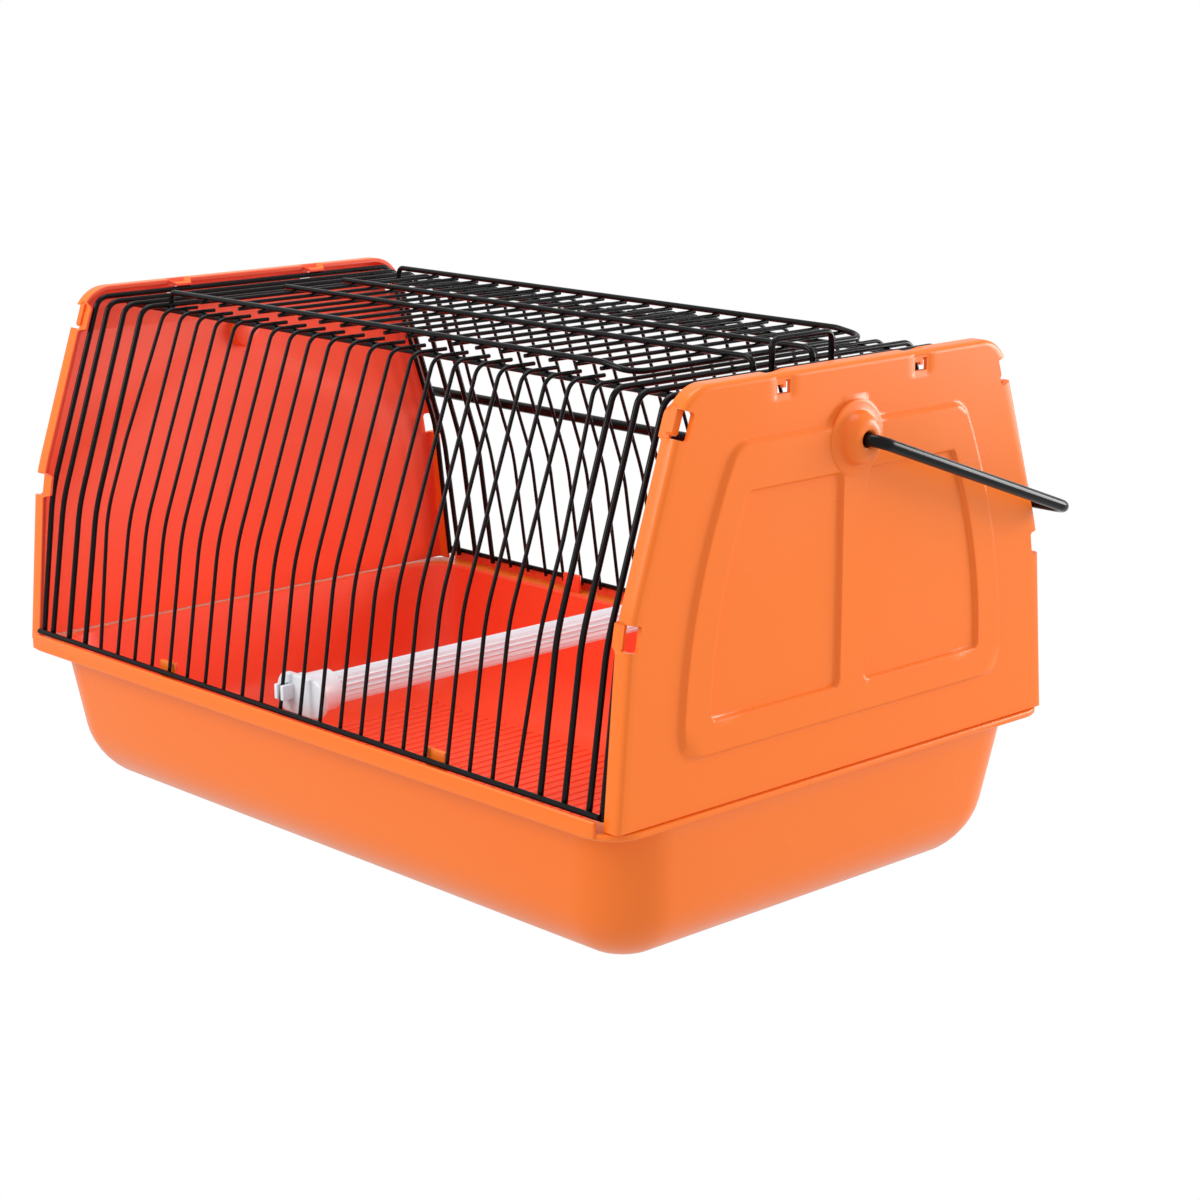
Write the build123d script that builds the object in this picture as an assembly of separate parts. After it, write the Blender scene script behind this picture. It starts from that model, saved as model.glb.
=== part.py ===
from build123d import *
import os
from math import atan2, cos, degrees, hypot, radians, sin

# Small carrier for a bird or other small animal: a plastic tray, a wire cage with plastic end panels
# that lifts off it, a wire door hinged in the roof, a latch bail, a perch and a folding wire handle.
# Millimetres. +X runs along the length towards the latch end, -Y is the front, +Z is up.
# The origin is the middle of the tray's underside, where it stands.

# ---- driving dimensions -------------------------------------------------------------------------
LENGTH = 300.0              # over the faces of the two end panels
PITCH = 10.148              # between upright wires
WIRE_COUNT = 28             # uprights on each side
HOOP_COUNT = 3              # of those, the thick ones at each end that run right over the roof
THICK = 1.9                 # diameter of hoops, frame wires, rods, door frame and latch
THIN = 1.3                  # diameter of bars and cross wires
WELD = 0.06                 # how deep welded wires bite into each other
GAP = 0.35                  # least clearance between parts that come apart
BITE = 0.2                  # how deep moulded features root in the wall they stand on

# side profile of the wires as (half depth, height)
ROD = (95.6, 53.8)          # bottom rods
KNEE = (86.9, 100.5)        # where the sides turn inwards
KNEE_RADIUS = 75.0
SHOULDER = (62.6, 167.4)    # where the thin wires turn over into the roof
SHOULDER_WIDE = 64.6        # half depth of the hoops' shoulders, which stand a little prouder
SHOULDER_RADIUS = 5.0
WIRE_FOOT = 52.3            # height of the lower ends of the uprights
BAR_LEG = 13.5              # length of the leg that a bar lays over the roof
ROOF_ROD_Y = 53.6           # half depth of the roof rods
BOTTOM_ROD_REACH = 142.9    # half lengths of the rods
ROOF_ROD_REACH = 141.5
BOW = 3.2                   # sideways bow of the last thin wire at each end
BOW_TOP = 125.0             # height where the bow starts to straighten
BOW_RADIUS = 40.0

FRAME_X = 142.5             # frame wires behind the end panels
FRAME_KNEE = (87.7, 103.0)
FRAME_SHOULDER = (65.4, 168.9)

# end panels
PANEL_FOOT = (95.25, 50.0)
PANEL_KNEE = (90.3, 107.7)
PANEL_TOP = (68.6, 172.3)
PANEL_KNEE_RADIUS = 60.0
PANEL_TOP_RADIUS = 13.0
PANEL_SKIN = 1.6
RIM_DEPTH = 6.0             # of the rim that wraps the edge of the cage
SHARP = 0.01                # radius of a corner that is left sharp
FOOT_OPEN = 5.0             # how far the hollow runs out below the foot
EMBOSS = 1.3                # height of the raised frame on the panel
RAISED_OUTLINE = [(71.0, 66.0), (68.0, 102.0), (50.0, 154.5)]
RAISED_RADII = [7.0, 50.0, 14.0]
WINDOW = [(59.5, 76.0), (57.5, 100.0), (45.0, 140.5)]
WINDOW_RADII = [5.0, 40.0, 9.0, 4.0, 4.0]
MULLION = 5.5               # half width of the bar between the two windows
PIVOT_Z = 150.0             # height of the handle's axis
BOSS_REACH = 6.0            # of the handle boss from the panel's face
BOSS_BASE = 9.5
BOSS_TIP = 6.2
BOSS_BORE = 5.0
CLIP_REACH = 2.8            # of a clip pad inboard of the rim, over the frame wire
CLIP_CUT = 4.4              # depth of a clip window from the panel's face
CLIP_WIDTH = 11.0           # of a clip window across the panel's edge
CLIP_TOP = (30.0, 7.2)      # half depth and length of the clips on the top edge
CLIP_UPPER = (162.5, 8.4)    # height and length of the clips on the slanted edges
CLIP_LOWER = (105.2, 7.6)   # height and length of the clips at the knees

# tray
TRAY_FOOT = (140.0, 84.4)
TRAY_MOUTH = (148.0, 91.3)
TRAY_WALL = 2.0
TRAY_CORNER = 21.0
TRAY_FILLET = 20.0
LEDGE_Z = (47.6, 49.6)
LEDGE = (151.0, 98.4)
LEDGE_CORNER = 12.0
STRIP_TOP = 53.2            # top of the upright strip outside each bottom rod
STRIP_SKIN = 1.5
STRIP_LENGTH = 287.0
TAB = (9.0, 1.4, 7.4)       # width, thickness and height of a locating tab
TAB_X = (-69.0, 69.0)
RIB_PITCH = 5.0             # of the low ribs across the floor
RIB = (1.6, 0.6)            # width and height of a rib
RIB_MARGIN = 2.0            # from a rib's end to the start of the floor's rounding

# handle
HANDLE_WIRE = 3.8
ARM_X = 160.0
ARM = 99.0
HANDLE_REST = -19.7         # folded back, degrees below level
HANDLE_BEND = 7.0
ROOT_BEND = 4.9             # where the arms turn into the bosses
HANDLE_END = 145.4          # where the ends stop inside the panels
HEAD = (7.0, 1.2)           # diameter and thickness of the flattened ends

# roof door
DOOR_Z = 171.6
DOOR_HALF = 51.0
DOOR_RIGHT = 109.5
DOOR_BEND = 6.0
DIP_LENGTH = 12.0           # over which the rails dip to pass under the stays
DIP_RADIUS = 18.0
STAY_Y = 13.0
STAY_LEFT = -104.0
CROSS_PITCH = 11.0          # between the door's cross wires
CROSS_COUNT = 19
CROSS_PAST = 2.0            # how far the cross wires run past the rails
HOOK_X = 121.8
HOOK_FOOT = 165.6
HOOK_BEND = 3.0
EYE_CLEAR = 0.4             # between a hinge eye and the hoop inside it

# latch bail
LATCH_TOP = 177.6
LATCH_HALF = 13.0
LATCH_BEND = 2.6
LATCH_TIP = 0.3             # height of the curled ends above the catch hoop's middle

# perch
PERCH_Z = 58.4
PERCH_DIAMETER = 10.4
PERCH_HALF = 84.0
CUP = (13.4, 10.0, 4.0)     # diameter and length of an end cup, and how thick its bottom is
CAP = (24.0, 2.4, 13.0)     # width, thickness and height of the plate on a cup
CAP_CORNER = 5.5
JAW = (1.6, 4.6, 5.0)       # one jaw of the cap's grip on an upright
JAW_CLEAR = 0.1
JAW_RISE = 1.0              # of the jaws above the perch's axis

HALF = LENGTH / 2
HOOP_X = [PITCH * (i - (WIRE_COUNT - 1) / 2) for i in range(WIRE_COUNT)]
LEFT_HOOPS = HOOP_X[:HOOP_COUNT]
RIGHT_HOOPS = HOOP_X[-HOOP_COUNT:]
THIN_HOOP_X = HOOP_X[-HOOP_COUNT - 1]
BAR_X = HOOP_X[HOOP_COUNT:-HOOP_COUNT - 1]
HINGE_X = LEFT_HOOPS[-1]
CATCH_X = RIGHT_HOOPS[1]
GRIP_X = HOOP_X[WIRE_COUNT // 2 - 1]            # the upright that the perch grips
ROOF_ROD_Z = SHOULDER[1] - (THIN + THICK) / 2 + WELD
ROOF_HOOP_Z = ROOF_ROD_Z + THICK - WELD
EYE_RADIUS = THICK + EYE_CLEAR                  # centre line of an eye round a hoop


# ---- helpers ------------------------------------------------------------------------------------
def bent_wire(points, radii, diameter):
    """A round wire along straight runs joined by arcs."""
    path = FilletPolyline(*points, radius=radii)
    section = Plane(origin=path @ 0, z_dir=path % 0) * Circle(diameter / 2)
    return sweep(section, path=path)


def straight_wire(start, end, diameter):
    line = Line(start, end)
    section = Plane(origin=start, z_dir=line % 0) * Circle(diameter / 2)
    return extrude(section, line.length)


def there_and_back(values):
    """A list followed by itself in reverse."""
    return list(values) + list(reversed(values))


def mirrored(half):
    """The closed outline of a half outline given from the foot upwards."""
    return list(half) + [(-y, z) for y, z in reversed(half)]


def prism(outline, radii, x_from, x_to):
    """A solid between two X planes, its outline in Y and Z with a radius for each corner."""
    wire = FilletPolyline(*outline, radius=radii, close=True)
    face = Plane.YZ.offset(x_from) * make_face(wire)
    return extrude(face, x_to - x_from)


def side_y(height, knee, shoulder):
    """Half depth of a straight upper run at a height."""
    slope = (shoulder[0] - knee[0]) / (shoulder[1] - knee[1])
    return knee[0] + slope * (height - knee[1])


def foot_y(diameter):
    """Half depth of an upright's lower end, so that it bites into the bottom rod's inner side."""
    at_rod = ROD[0] - (THICK + diameter) / 2 + WELD
    lean = (at_rod - KNEE[0]) / (KNEE[1] - ROD[1])
    return at_rod + lean * (ROD[1] - WIRE_FOOT)


# ---- cage ---------------------------------------------------------------------------------------
def hoop(x, knee, shoulder):
    """A thick wire from one bottom rod over the roof to the other."""
    half = [(foot_y(THICK), WIRE_FOOT), knee, shoulder]
    points = [(x, y, z) for y, z in mirrored(half)]
    return bent_wire(points, there_and_back([KNEE_RADIUS, SHOULDER_RADIUS]), THICK)


def upright(x, side, bow):
    """Corner points and radii of one thin wire from its foot to its shoulder."""
    points = [(x, side * foot_y(THIN), WIRE_FOOT), (x + bow, side * KNEE[0], KNEE[1])]
    radii = [KNEE_RADIUS]
    if bow:
        points.append((x + bow, side * side_y(BOW_TOP, KNEE, SHOULDER), BOW_TOP))
        radii.append(BOW_RADIUS)
    points.append((x, side * SHOULDER[0], SHOULDER[1]))
    radii.append(SHOULDER_RADIUS)
    return points, radii


def bar(x, side, bow):
    """A thin upright whose top end is laid over the roof rod."""
    points, radii = upright(x, side, bow)
    points.append((x, side * (SHOULDER[0] - BAR_LEG), SHOULDER[1]))
    return bent_wire(points, radii, THIN)


def bars(side):
    bows = [-BOW] + [0.0] * (len(BAR_X) - 1)
    return [bar(x, side, bow) for x, bow in zip(BAR_X, bows)]


def thin_hoop():
    """The last thin wire, which runs right over the roof."""
    front, radii = upright(THIN_HOOP_X, -1, BOW)
    back, _ = upright(THIN_HOOP_X, 1, BOW)
    return bent_wire(front + back[::-1], there_and_back(radii), THIN)


def rod(y, z, reach):
    return straight_wire((-reach, y, z), (reach, y, z), THICK)


# ---- end panels ---------------------------------------------------------------------------------
PANEL_HALF = [PANEL_FOOT, PANEL_KNEE, PANEL_TOP]


def moved_in(points, by):
    """A half outline moved inwards by a distance and run out below the foot."""
    (fy, fz), (ky, kz), (ty, tz) = points
    lower = hypot(ky - fy, kz - fz)
    upper = hypot(ty - ky, tz - kz)
    n_low = ((kz - fz) / lower, (fy - ky) / lower)
    n_up = ((tz - kz) / upper, (ky - ty) / upper)
    bisect = (n_low[0] + n_up[0], n_low[1] + n_up[1])
    scale = 2 * by / (bisect[0] ** 2 + bisect[1] ** 2)
    knee = (ky - bisect[0] * scale, kz - bisect[1] * scale)
    foot_out = FOOT_OPEN * (fy - ky) / (kz - fz)
    top_y = ty + by * (ky - ty) / (tz - kz) - by / n_up[0]
    return [(fy - by / n_low[0] + foot_out, fz - FOOT_OPEN), knee, (top_y, tz - by)]


def clip_spots():
    """Where the panel clips over the frame wire: middle (y, z), tangent angle and window length."""
    slope = degrees(atan2(PANEL_TOP[1] - PANEL_KNEE[1], PANEL_TOP[0] - PANEL_KNEE[0]))
    upper_y = side_y(CLIP_UPPER[0], PANEL_KNEE, PANEL_TOP)
    spots = [(CLIP_TOP[0], PANEL_TOP[1], 0.0, CLIP_TOP[1]),
             (upper_y, CLIP_UPPER[0], slope, CLIP_UPPER[1]),
             (PANEL_KNEE[0], CLIP_LOWER[0], 90.0, CLIP_LOWER[1])]
    return spots + [(-y, z, -angle, length) for y, z, angle, length in spots]


def clip_block(spot, x_from, x_to, depth):
    """A box across the panel's edge at a clip."""
    y, z, angle, length = spot
    return Pos((x_from + x_to) / 2, y, z) * Rot(angle, 0, 0) * Box(x_to - x_from, length, depth)


def window(side):
    half = [(side * y, z) for y, z in WINDOW]
    outline = half + [(side * MULLION, WINDOW[-1][1]), (side * MULLION, WINDOW[0][1])]
    return prism(outline, WINDOW_RADII, HALF, HALF + 2 * EMBOSS)


def panel_ring(x_from, x_to):
    """The skin along the panel's edge between two X planes, open at the foot."""
    outer = prism(mirrored(PANEL_HALF), there_and_back([SHARP, PANEL_KNEE_RADIUS, PANEL_TOP_RADIUS]),
                  x_from, x_to)
    inner_radii = there_and_back([SHARP, PANEL_KNEE_RADIUS, PANEL_TOP_RADIUS - PANEL_SKIN])
    return outer - prism(mirrored(moved_in(PANEL_HALF, PANEL_SKIN)), inner_radii, x_from, x_to)


def end_panel():
    """The panel at +X; the other one is its mirror image."""
    rim_x = HALF - RIM_DEPTH
    pad_x = rim_x - CLIP_REACH
    panel = prism(mirrored(PANEL_HALF), there_and_back([SHARP, PANEL_KNEE_RADIUS, PANEL_TOP_RADIUS]),
                  HALF - PANEL_SKIN, HALF)
    panel += panel_ring(rim_x, HALF - PANEL_SKIN + BITE)
    pad_ring = panel_ring(pad_x, rim_x + BITE)
    for spot in clip_spots():
        panel -= clip_block(spot, HALF - CLIP_CUT, HALF + EMBOSS, CLIP_WIDTH)
        panel += pad_ring & clip_block(spot, pad_x, HALF, 2 * CLIP_WIDTH)
    raised = prism(mirrored(RAISED_OUTLINE), there_and_back(RAISED_RADII), HALF - BITE, HALF + EMBOSS)
    for side in (-1, 1):
        raised -= window(side)
    panel += raised
    panel += Plane(origin=(HALF - BITE, 0, PIVOT_Z), z_dir=(1, 0, 0)) * Cone(
        BOSS_BASE, BOSS_TIP, BOSS_REACH + BITE, align=(Align.CENTER, Align.CENTER, Align.MIN))
    bore = straight_wire((rim_x, 0, PIVOT_Z), (HALF + 2 * BOSS_REACH, 0, PIVOT_Z), BOSS_BORE)
    return panel - bore


# ---- tray ---------------------------------------------------------------------------------------
def tub(inset, z_foot, z_mouth):
    """The tapering body of the tray, its walls moved in by an inset and its bottom edge rounded."""
    foot, mouth = [(2 * (x - inset), 2 * (y - inset)) for x, y in (TRAY_FOOT, TRAY_MOUTH)]
    lower = Pos(0, 0, z_foot) * RectangleRounded(*foot, TRAY_CORNER - inset)
    upper = Pos(0, 0, z_mouth) * RectangleRounded(*mouth, TRAY_CORNER - inset)
    solid = loft([lower, upper])
    bottom = solid.faces().sort_by(Axis.Z)[0]
    return fillet(bottom.edges(), TRAY_FILLET - inset)


def block(size, x, y, z_foot):
    """A box standing on a height."""
    return Pos(x, y, z_foot + size[2] / 2) * Box(*size)


def base_tray():
    ledge_face = Pos(0, 0, LEDGE_Z[0]) * RectangleRounded(2 * LEDGE[0], 2 * LEDGE[1], LEDGE_CORNER)
    body = tub(0, 0, LEDGE_Z[1]) + extrude(ledge_face, LEDGE_Z[1] - LEDGE_Z[0])
    strip = (STRIP_LENGTH, STRIP_SKIN, STRIP_TOP - LEDGE_Z[0])
    for side in (-1, 1):
        body += block(strip, 0, side * (LEDGE[1] - STRIP_SKIN / 2), LEDGE_Z[0])
    body -= tub(TRAY_WALL, TRAY_WALL, LEDGE_Z[1] + SHARP)
    tab_y = foot_y(THICK) - THICK / 2 - GAP - TAB[1] / 2
    for x in TAB_X:
        for side in (-1, 1):
            body += block(TAB, x, side * tab_y, LEDGE_Z[1] - BITE)
    flat_x = TRAY_FOOT[0] - TRAY_FILLET - RIB_MARGIN
    rib = (RIB[0], 2 * (TRAY_FOOT[1] - TRAY_FILLET - RIB_MARGIN), RIB[1] + BITE)
    rib_count = int(flat_x / RIB_PITCH)
    for i in range(-rib_count, rib_count + 1):
        body += block(rib, i * RIB_PITCH, 0, TRAY_WALL - BITE)
    return body


# ---- handle -------------------------------------------------------------------------------------
def handle_bail():
    angle = radians(HANDLE_REST)
    y, z = ARM * cos(angle), PIVOT_Z + ARM * sin(angle)
    half = [(HANDLE_END, 0, PIVOT_Z), (ARM_X, 0, PIVOT_Z), (ARM_X, y, z)]
    points = half + [(-x, y, z) for x, y, z in reversed(half)]
    bail = bent_wire(points, there_and_back([ROOT_BEND, HANDLE_BEND]), HANDLE_WIRE)
    for side in (-1, 1):
        bail += straight_wire((side * HANDLE_END, 0, PIVOT_Z), (side * (HANDLE_END + HEAD[1]), 0, PIVOT_Z),
                              HEAD[0])
    return bail


# ---- roof door ----------------------------------------------------------------------------------
def door_rail(y):
    """Corner points of a rail, from the curl round the hinge hoop to the front edge."""
    left, right = HINGE_X - EYE_RADIUS, HINGE_X + EYE_RADIUS
    under = ROOF_HOOP_Z - EYE_RADIUS
    low = DOOR_Z - THICK + WELD
    return [(right, y, under), (left, y, under), (left, y, DOOR_Z),
            (DOOR_RIGHT - DIP_LENGTH, y, DOOR_Z), (DOOR_RIGHT, y, low)]


def door_frame():
    curl = EYE_RADIUS * 0.95
    radii = there_and_back([curl, curl, DIP_RADIUS, DOOR_BEND])
    return bent_wire(door_rail(-DOOR_HALF) + door_rail(DOOR_HALF)[::-1], radii, THICK)


def door_stay(y):
    """A long wire of the door that ends in a hook between two thick hoops."""
    points = [(STAY_LEFT, y, DOOR_Z), (HOOK_X, y, DOOR_Z), (HOOK_X, y, HOOK_FOOT)]
    return bent_wire(points, [HOOK_BEND], THICK)


def door_cross_wires():
    z = DOOR_Z - (THICK + THIN) / 2 + WELD
    reach = DOOR_HALF + CROSS_PAST
    places = [CROSS_PITCH * (i - (CROSS_COUNT - 1) / 2) for i in range(CROSS_COUNT)]
    return [straight_wire((x, -reach, z), (x, reach, z), THIN) for x in places]


# ---- latch --------------------------------------------------------------------------------------
def latch_bail():
    """A bail whose feet curl under and round the catch hoop."""
    left, right = CATCH_X - EYE_RADIUS, CATCH_X + EYE_RADIUS
    under = ROOF_HOOP_Z - EYE_RADIUS
    half = [(left, ROOF_HOOP_Z + LATCH_TIP), (left, under), (right, under), (right, LATCH_TOP)]
    points = [(x, -LATCH_HALF, z) for x, z in half] + [(x, LATCH_HALF, z) for x, z in reversed(half)]
    curl = EYE_RADIUS * 0.98
    return bent_wire(points, there_and_back([curl, curl, LATCH_BEND]), THICK)


# ---- perch --------------------------------------------------------------------------------------
def perch_tube():
    return straight_wire((0, -PERCH_HALF, PERCH_Z), (0, PERCH_HALF, PERCH_Z), PERCH_DIAMETER)


def perch_cap(side):
    """A cap that closes the perch and grips the nearest upright with two jaws."""
    cup_diameter, cup_length, bottom = CUP
    cup_end = PERCH_HALF + bottom
    cap = straight_wire((0, side * (cup_end - cup_length), PERCH_Z), (0, side * cup_end, PERCH_Z),
                        cup_diameter)
    cap -= straight_wire((0, side * (cup_end - cup_length), PERCH_Z), (0, side * PERCH_HALF, PERCH_Z),
                         PERCH_DIAMETER)
    plate_y = cup_end - BITE + CAP[1] / 2
    plate = Pos(0, side * plate_y, PERCH_Z) * Box(*CAP)
    cap += fillet(plate.edges().filter_by(Axis.Y), CAP_CORNER)
    jaw_y = plate_y + CAP[1] / 2 - BITE + JAW[1] / 2
    jaw_x = THIN / 2 + JAW_CLEAR + JAW[0] / 2
    for x in (GRIP_X - jaw_x, GRIP_X + jaw_x):
        cap += Pos(x, side * jaw_y, PERCH_Z + JAW_RISE) * Box(*JAW)
    return cap


# ---- write the pieces ---------------------------------------------------------------------------
def write(name, shapes):
    shapes = shapes if isinstance(shapes, list) else [shapes]
    solids = [solid for shape in shapes for solid in shape.solids()]
    part = solids[0] if len(solids) == 1 else Compound(children=solids)
    export_step(part, f"parts/{name}.step")
    print(f"{name}: {len(solids)} solid(s), {sum(s.volume for s in solids):.0f} mm3")


def main():
    os.makedirs("parts", exist_ok=True)
    write("base_tray", base_tray())
    panel = end_panel()
    write("end_panel_right", panel)
    write("end_panel_left", mirror(panel, Plane.YZ))
    write("frame_wire_right", hoop(FRAME_X, FRAME_KNEE, FRAME_SHOULDER))
    write("frame_wire_left", hoop(-FRAME_X, FRAME_KNEE, FRAME_SHOULDER))
    names = ["left_hoop_outer", "left_hoop_inner", "hinge_hoop",
             "right_hoop_inner", "catch_hoop", "right_hoop_outer"]
    for name, x in zip(names, LEFT_HOOPS + RIGHT_HOOPS):
        write(name, hoop(x, KNEE, (SHOULDER_WIDE, ROOF_HOOP_Z)))
    write("thin_hoop", thin_hoop())
    for side, label in ((-1, "front"), (1, "back")):
        write(f"{label}_bars", bars(side))
        write(f"bottom_rod_{label}", rod(side * ROD[0], ROD[1], BOTTOM_ROD_REACH))
        write(f"roof_rod_{label}", rod(side * ROOF_ROD_Y, ROOF_ROD_Z, ROOF_ROD_REACH))
        write(f"perch_cap_{label}", perch_cap(side))
        write(f"door_stay_{label}", door_stay(side * STAY_Y))
    write("perch_tube", perch_tube())
    write("handle_bail", handle_bail())
    write("door_frame", door_frame())
    write("door_cross_wires", door_cross_wires())
    write("latch_bail", latch_bail())


main()
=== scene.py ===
# %% [markdown]
# # A small animal carrier
#
# The carrier is a plastic tray with a wire cage on it. Two plastic end panels clip over the ends of the
# cage, a wire door is hinged in the roof, a latch bail stands beside it, a perch crosses the cage, and a
# heavier wire handle swings in bosses on the end panels.
#
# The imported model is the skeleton: it fixes every size and every axis. This script gives each piece its
# real surface. Wires are drawn as bent paths and swept by one Geometry Nodes tree, the plastic shells
# are built ring by ring in mesh code, and the finishes are node materials.

import math

import bmesh
import bpy
import numpy as np
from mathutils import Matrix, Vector


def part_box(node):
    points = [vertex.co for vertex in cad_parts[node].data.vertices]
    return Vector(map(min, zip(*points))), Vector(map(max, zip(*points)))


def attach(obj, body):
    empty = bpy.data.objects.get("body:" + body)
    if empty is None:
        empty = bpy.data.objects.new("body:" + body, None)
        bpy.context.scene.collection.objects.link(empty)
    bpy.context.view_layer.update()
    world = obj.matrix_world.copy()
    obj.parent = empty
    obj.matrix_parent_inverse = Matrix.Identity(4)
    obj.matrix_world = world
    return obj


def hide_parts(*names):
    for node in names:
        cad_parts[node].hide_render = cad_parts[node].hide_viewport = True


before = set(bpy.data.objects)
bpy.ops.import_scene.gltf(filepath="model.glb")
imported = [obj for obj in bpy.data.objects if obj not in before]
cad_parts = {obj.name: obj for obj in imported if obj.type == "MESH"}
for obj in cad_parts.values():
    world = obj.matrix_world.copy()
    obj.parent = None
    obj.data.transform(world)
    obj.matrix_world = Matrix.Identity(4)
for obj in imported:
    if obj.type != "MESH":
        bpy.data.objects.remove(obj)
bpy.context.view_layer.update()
MM = 0.001

# %% [markdown]
# ## Sizes shared by several pieces
#
# A wire's diameter and place can be read back from the model, because a hoop's box is exactly one wire
# thick and a row of bars shows its own pitch. Only the bends have to be named again: a box says where a
# wire ends but not how it gets there.

# %% Wire gauges and rows
THICK = (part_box("hinge_hoop")[1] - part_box("hinge_hoop")[0]).x
THIN = (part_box("door_cross_wires")[1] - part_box("door_cross_wires")[0]).z
HANDLE_WIRE = 3.8 * MM


def middle(node):
    """The centre of a node's box."""
    low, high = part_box(node)
    return (low + high) / 2


PITCH = (middle("left_hoop_inner") - middle("left_hoop_outer")).x
HALF = 150 * MM
ROD = (middle("bottom_rod_back").y, middle("bottom_rod_back").z)
WELD = 0.06 * MM
print("gauges", round(THICK / MM, 2), round(THIN / MM, 2), "pitch", round(PITCH / MM, 3))

# %% The bend line of the cage, as (half depth, height)
KNEE = (86.9 * MM, 100.5 * MM)
SHOULDER = (62.6 * MM, 167.4 * MM)
SHOULDER_WIDE = (64.6 * MM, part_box("hinge_hoop")[1].z - THICK / 2)
KNEE_RADIUS = 75 * MM
SHOULDER_RADIUS = 5 * MM
WIRE_FOOT = 52.3 * MM


def foot_y(diameter):
    """Half depth of an upright's lower end, leaning so that it touches the bottom rod."""
    at_rod = ROD[0] - (THICK + diameter) / 2 + WELD
    lean = (at_rod - KNEE[0]) / (KNEE[1] - ROD[1])
    return at_rod + lean * (ROD[1] - WIRE_FOOT)


# %% [markdown]
# ## Finishes
#
# Three finishes cover the whole carrier: orange moulded plastic, black coated wire and white moulded
# plastic. All three have small unevenness: colour drifts a little over a moulding, and gloss is never
# quite the same everywhere. That effect is one node group with named inputs, placed in each material
# with its own values, so every surface gets the same kind of variation at its own scale.
#
# The group puts out a colour, a roughness and a bump height. The shader stays in the material.

# %% A shader group for uneven gloss and colour
def socket(tree, name, direction, kind, value=None):
    """Adds a named socket to a node group's outside."""
    made = tree.interface.new_socket(name, in_out=direction, socket_type=kind)
    if value is not None:
        made.default_value = value
    return made


def add(tree, kind, feeds=None, **settings):
    """Adds a node, sets its properties and feeds its inputs, each with a value or another node's socket."""
    node = tree.nodes.new(kind)
    for name, value in settings.items():
        setattr(node, name, value)
    for name, value in (feeds or {}).items():
        if isinstance(value, bpy.types.NodeSocket):
            tree.links.new(value, node.inputs[name])
        else:
            node.inputs[name].default_value = value
    return node


def surface_group():
    tree = bpy.data.node_groups.new("uneven_surface", "ShaderNodeTree")
    for label, value in (("Colour", (0.8, 0.8, 0.8, 1)), ("Drift Colour", (0.7, 0.7, 0.7, 1))):
        socket(tree, label, "INPUT", "NodeSocketColor", value)
    for label, value in (("Drift", 0.5), ("Gloss Low", 0.2), ("Gloss High", 0.3), ("Patch Size", 18.0),
                         ("Grain Size", 900.0)):
        socket(tree, label, "INPUT", "NodeSocketFloat", value)
    socket(tree, "Colour", "OUTPUT", "NodeSocketColor")
    socket(tree, "Roughness", "OUTPUT", "NodeSocketFloat")
    socket(tree, "Height", "OUTPUT", "NodeSocketFloat")
    inside = add(tree, "NodeGroupInput")
    outside = add(tree, "NodeGroupOutput")
    where = add(tree, "ShaderNodeTexCoord").outputs["Object"]
    given = inside.outputs
    link = tree.links.new

    patches = add(tree, "ShaderNodeTexNoise", {"Vector": where, "Scale": given["Patch Size"], "Detail": 3.0})
    amount = add(tree, "ShaderNodeMath", {0: patches.outputs["Fac"], 1: given["Drift"]},
                 operation="MULTIPLY")
    tint = add(tree, "ShaderNodeMix", {"Factor": amount.outputs[0], 6: given["Colour"],
                                       7: given["Drift Colour"]}, data_type="RGBA")
    link(tint.outputs[2], outside.inputs["Colour"])

    gloss = add(tree, "ShaderNodeMapRange", {
        "Value": patches.outputs["Fac"], "From Min": 0.2, "From Max": 0.8, "To Min": given["Gloss Low"],
        "To Max": given["Gloss High"]}, interpolation_type="SMOOTHSTEP")
    link(gloss.outputs["Result"], outside.inputs["Roughness"])

    grain = add(tree, "ShaderNodeTexNoise", {"Vector": where, "Scale": given["Grain Size"], "Detail": 2.0})
    link(grain.outputs["Fac"], outside.inputs["Height"])
    return tree


UNEVEN = surface_group()
print("group", UNEVEN.name, "with", len(UNEVEN.nodes), "nodes")

# %% [markdown]
# Each finish is a Principled shader fed by that group. Numbers that are the same all over, such as the
# index of refraction, are set on the shader itself.
#
# The orange is a translucent resin. Where the light comes through a wall, as inside the carrier, the
# plastic looks redder than where it falls on the outside. That light is painted: the shells have a second,
# deeper orange on their inner faces, painted transmitted light and shade on the same plastic.

# %% Build the finishes
GRAIN_HEIGHT = 0.05 * MM


def finish(name, colour, drift_colour, drift, gloss, patch, grain, bump, **constants):
    """A material made from the shared group and a Principled shader."""
    material = bpy.data.materials.new(name)
    material.use_nodes = True
    tree = material.node_tree
    shader = tree.nodes["Principled BSDF"]
    for key, value in constants.items():
        shader.inputs[key.replace("_", " ")].default_value = value
    group = add(tree, "ShaderNodeGroup", node_tree=UNEVEN)
    settings = {"Colour": (*colour, 1), "Drift Colour": (*drift_colour, 1), "Drift": drift,
                "Gloss Low": gloss[0], "Gloss High": gloss[1], "Patch Size": patch, "Grain Size": grain}
    for key, value in settings.items():
        group.inputs[key].default_value = value
    relief = add(tree, "ShaderNodeBump", {"Strength": bump, "Distance": GRAIN_HEIGHT,
                                          "Height": group.outputs["Height"]})
    for source, label in ((group.outputs["Colour"], "Base Color"), (relief.outputs["Normal"], "Normal"),
                          (group.outputs["Roughness"], "Roughness")):
        tree.links.new(source, shader.inputs[label])
    material.diffuse_color = (*colour, 1)
    return material


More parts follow.
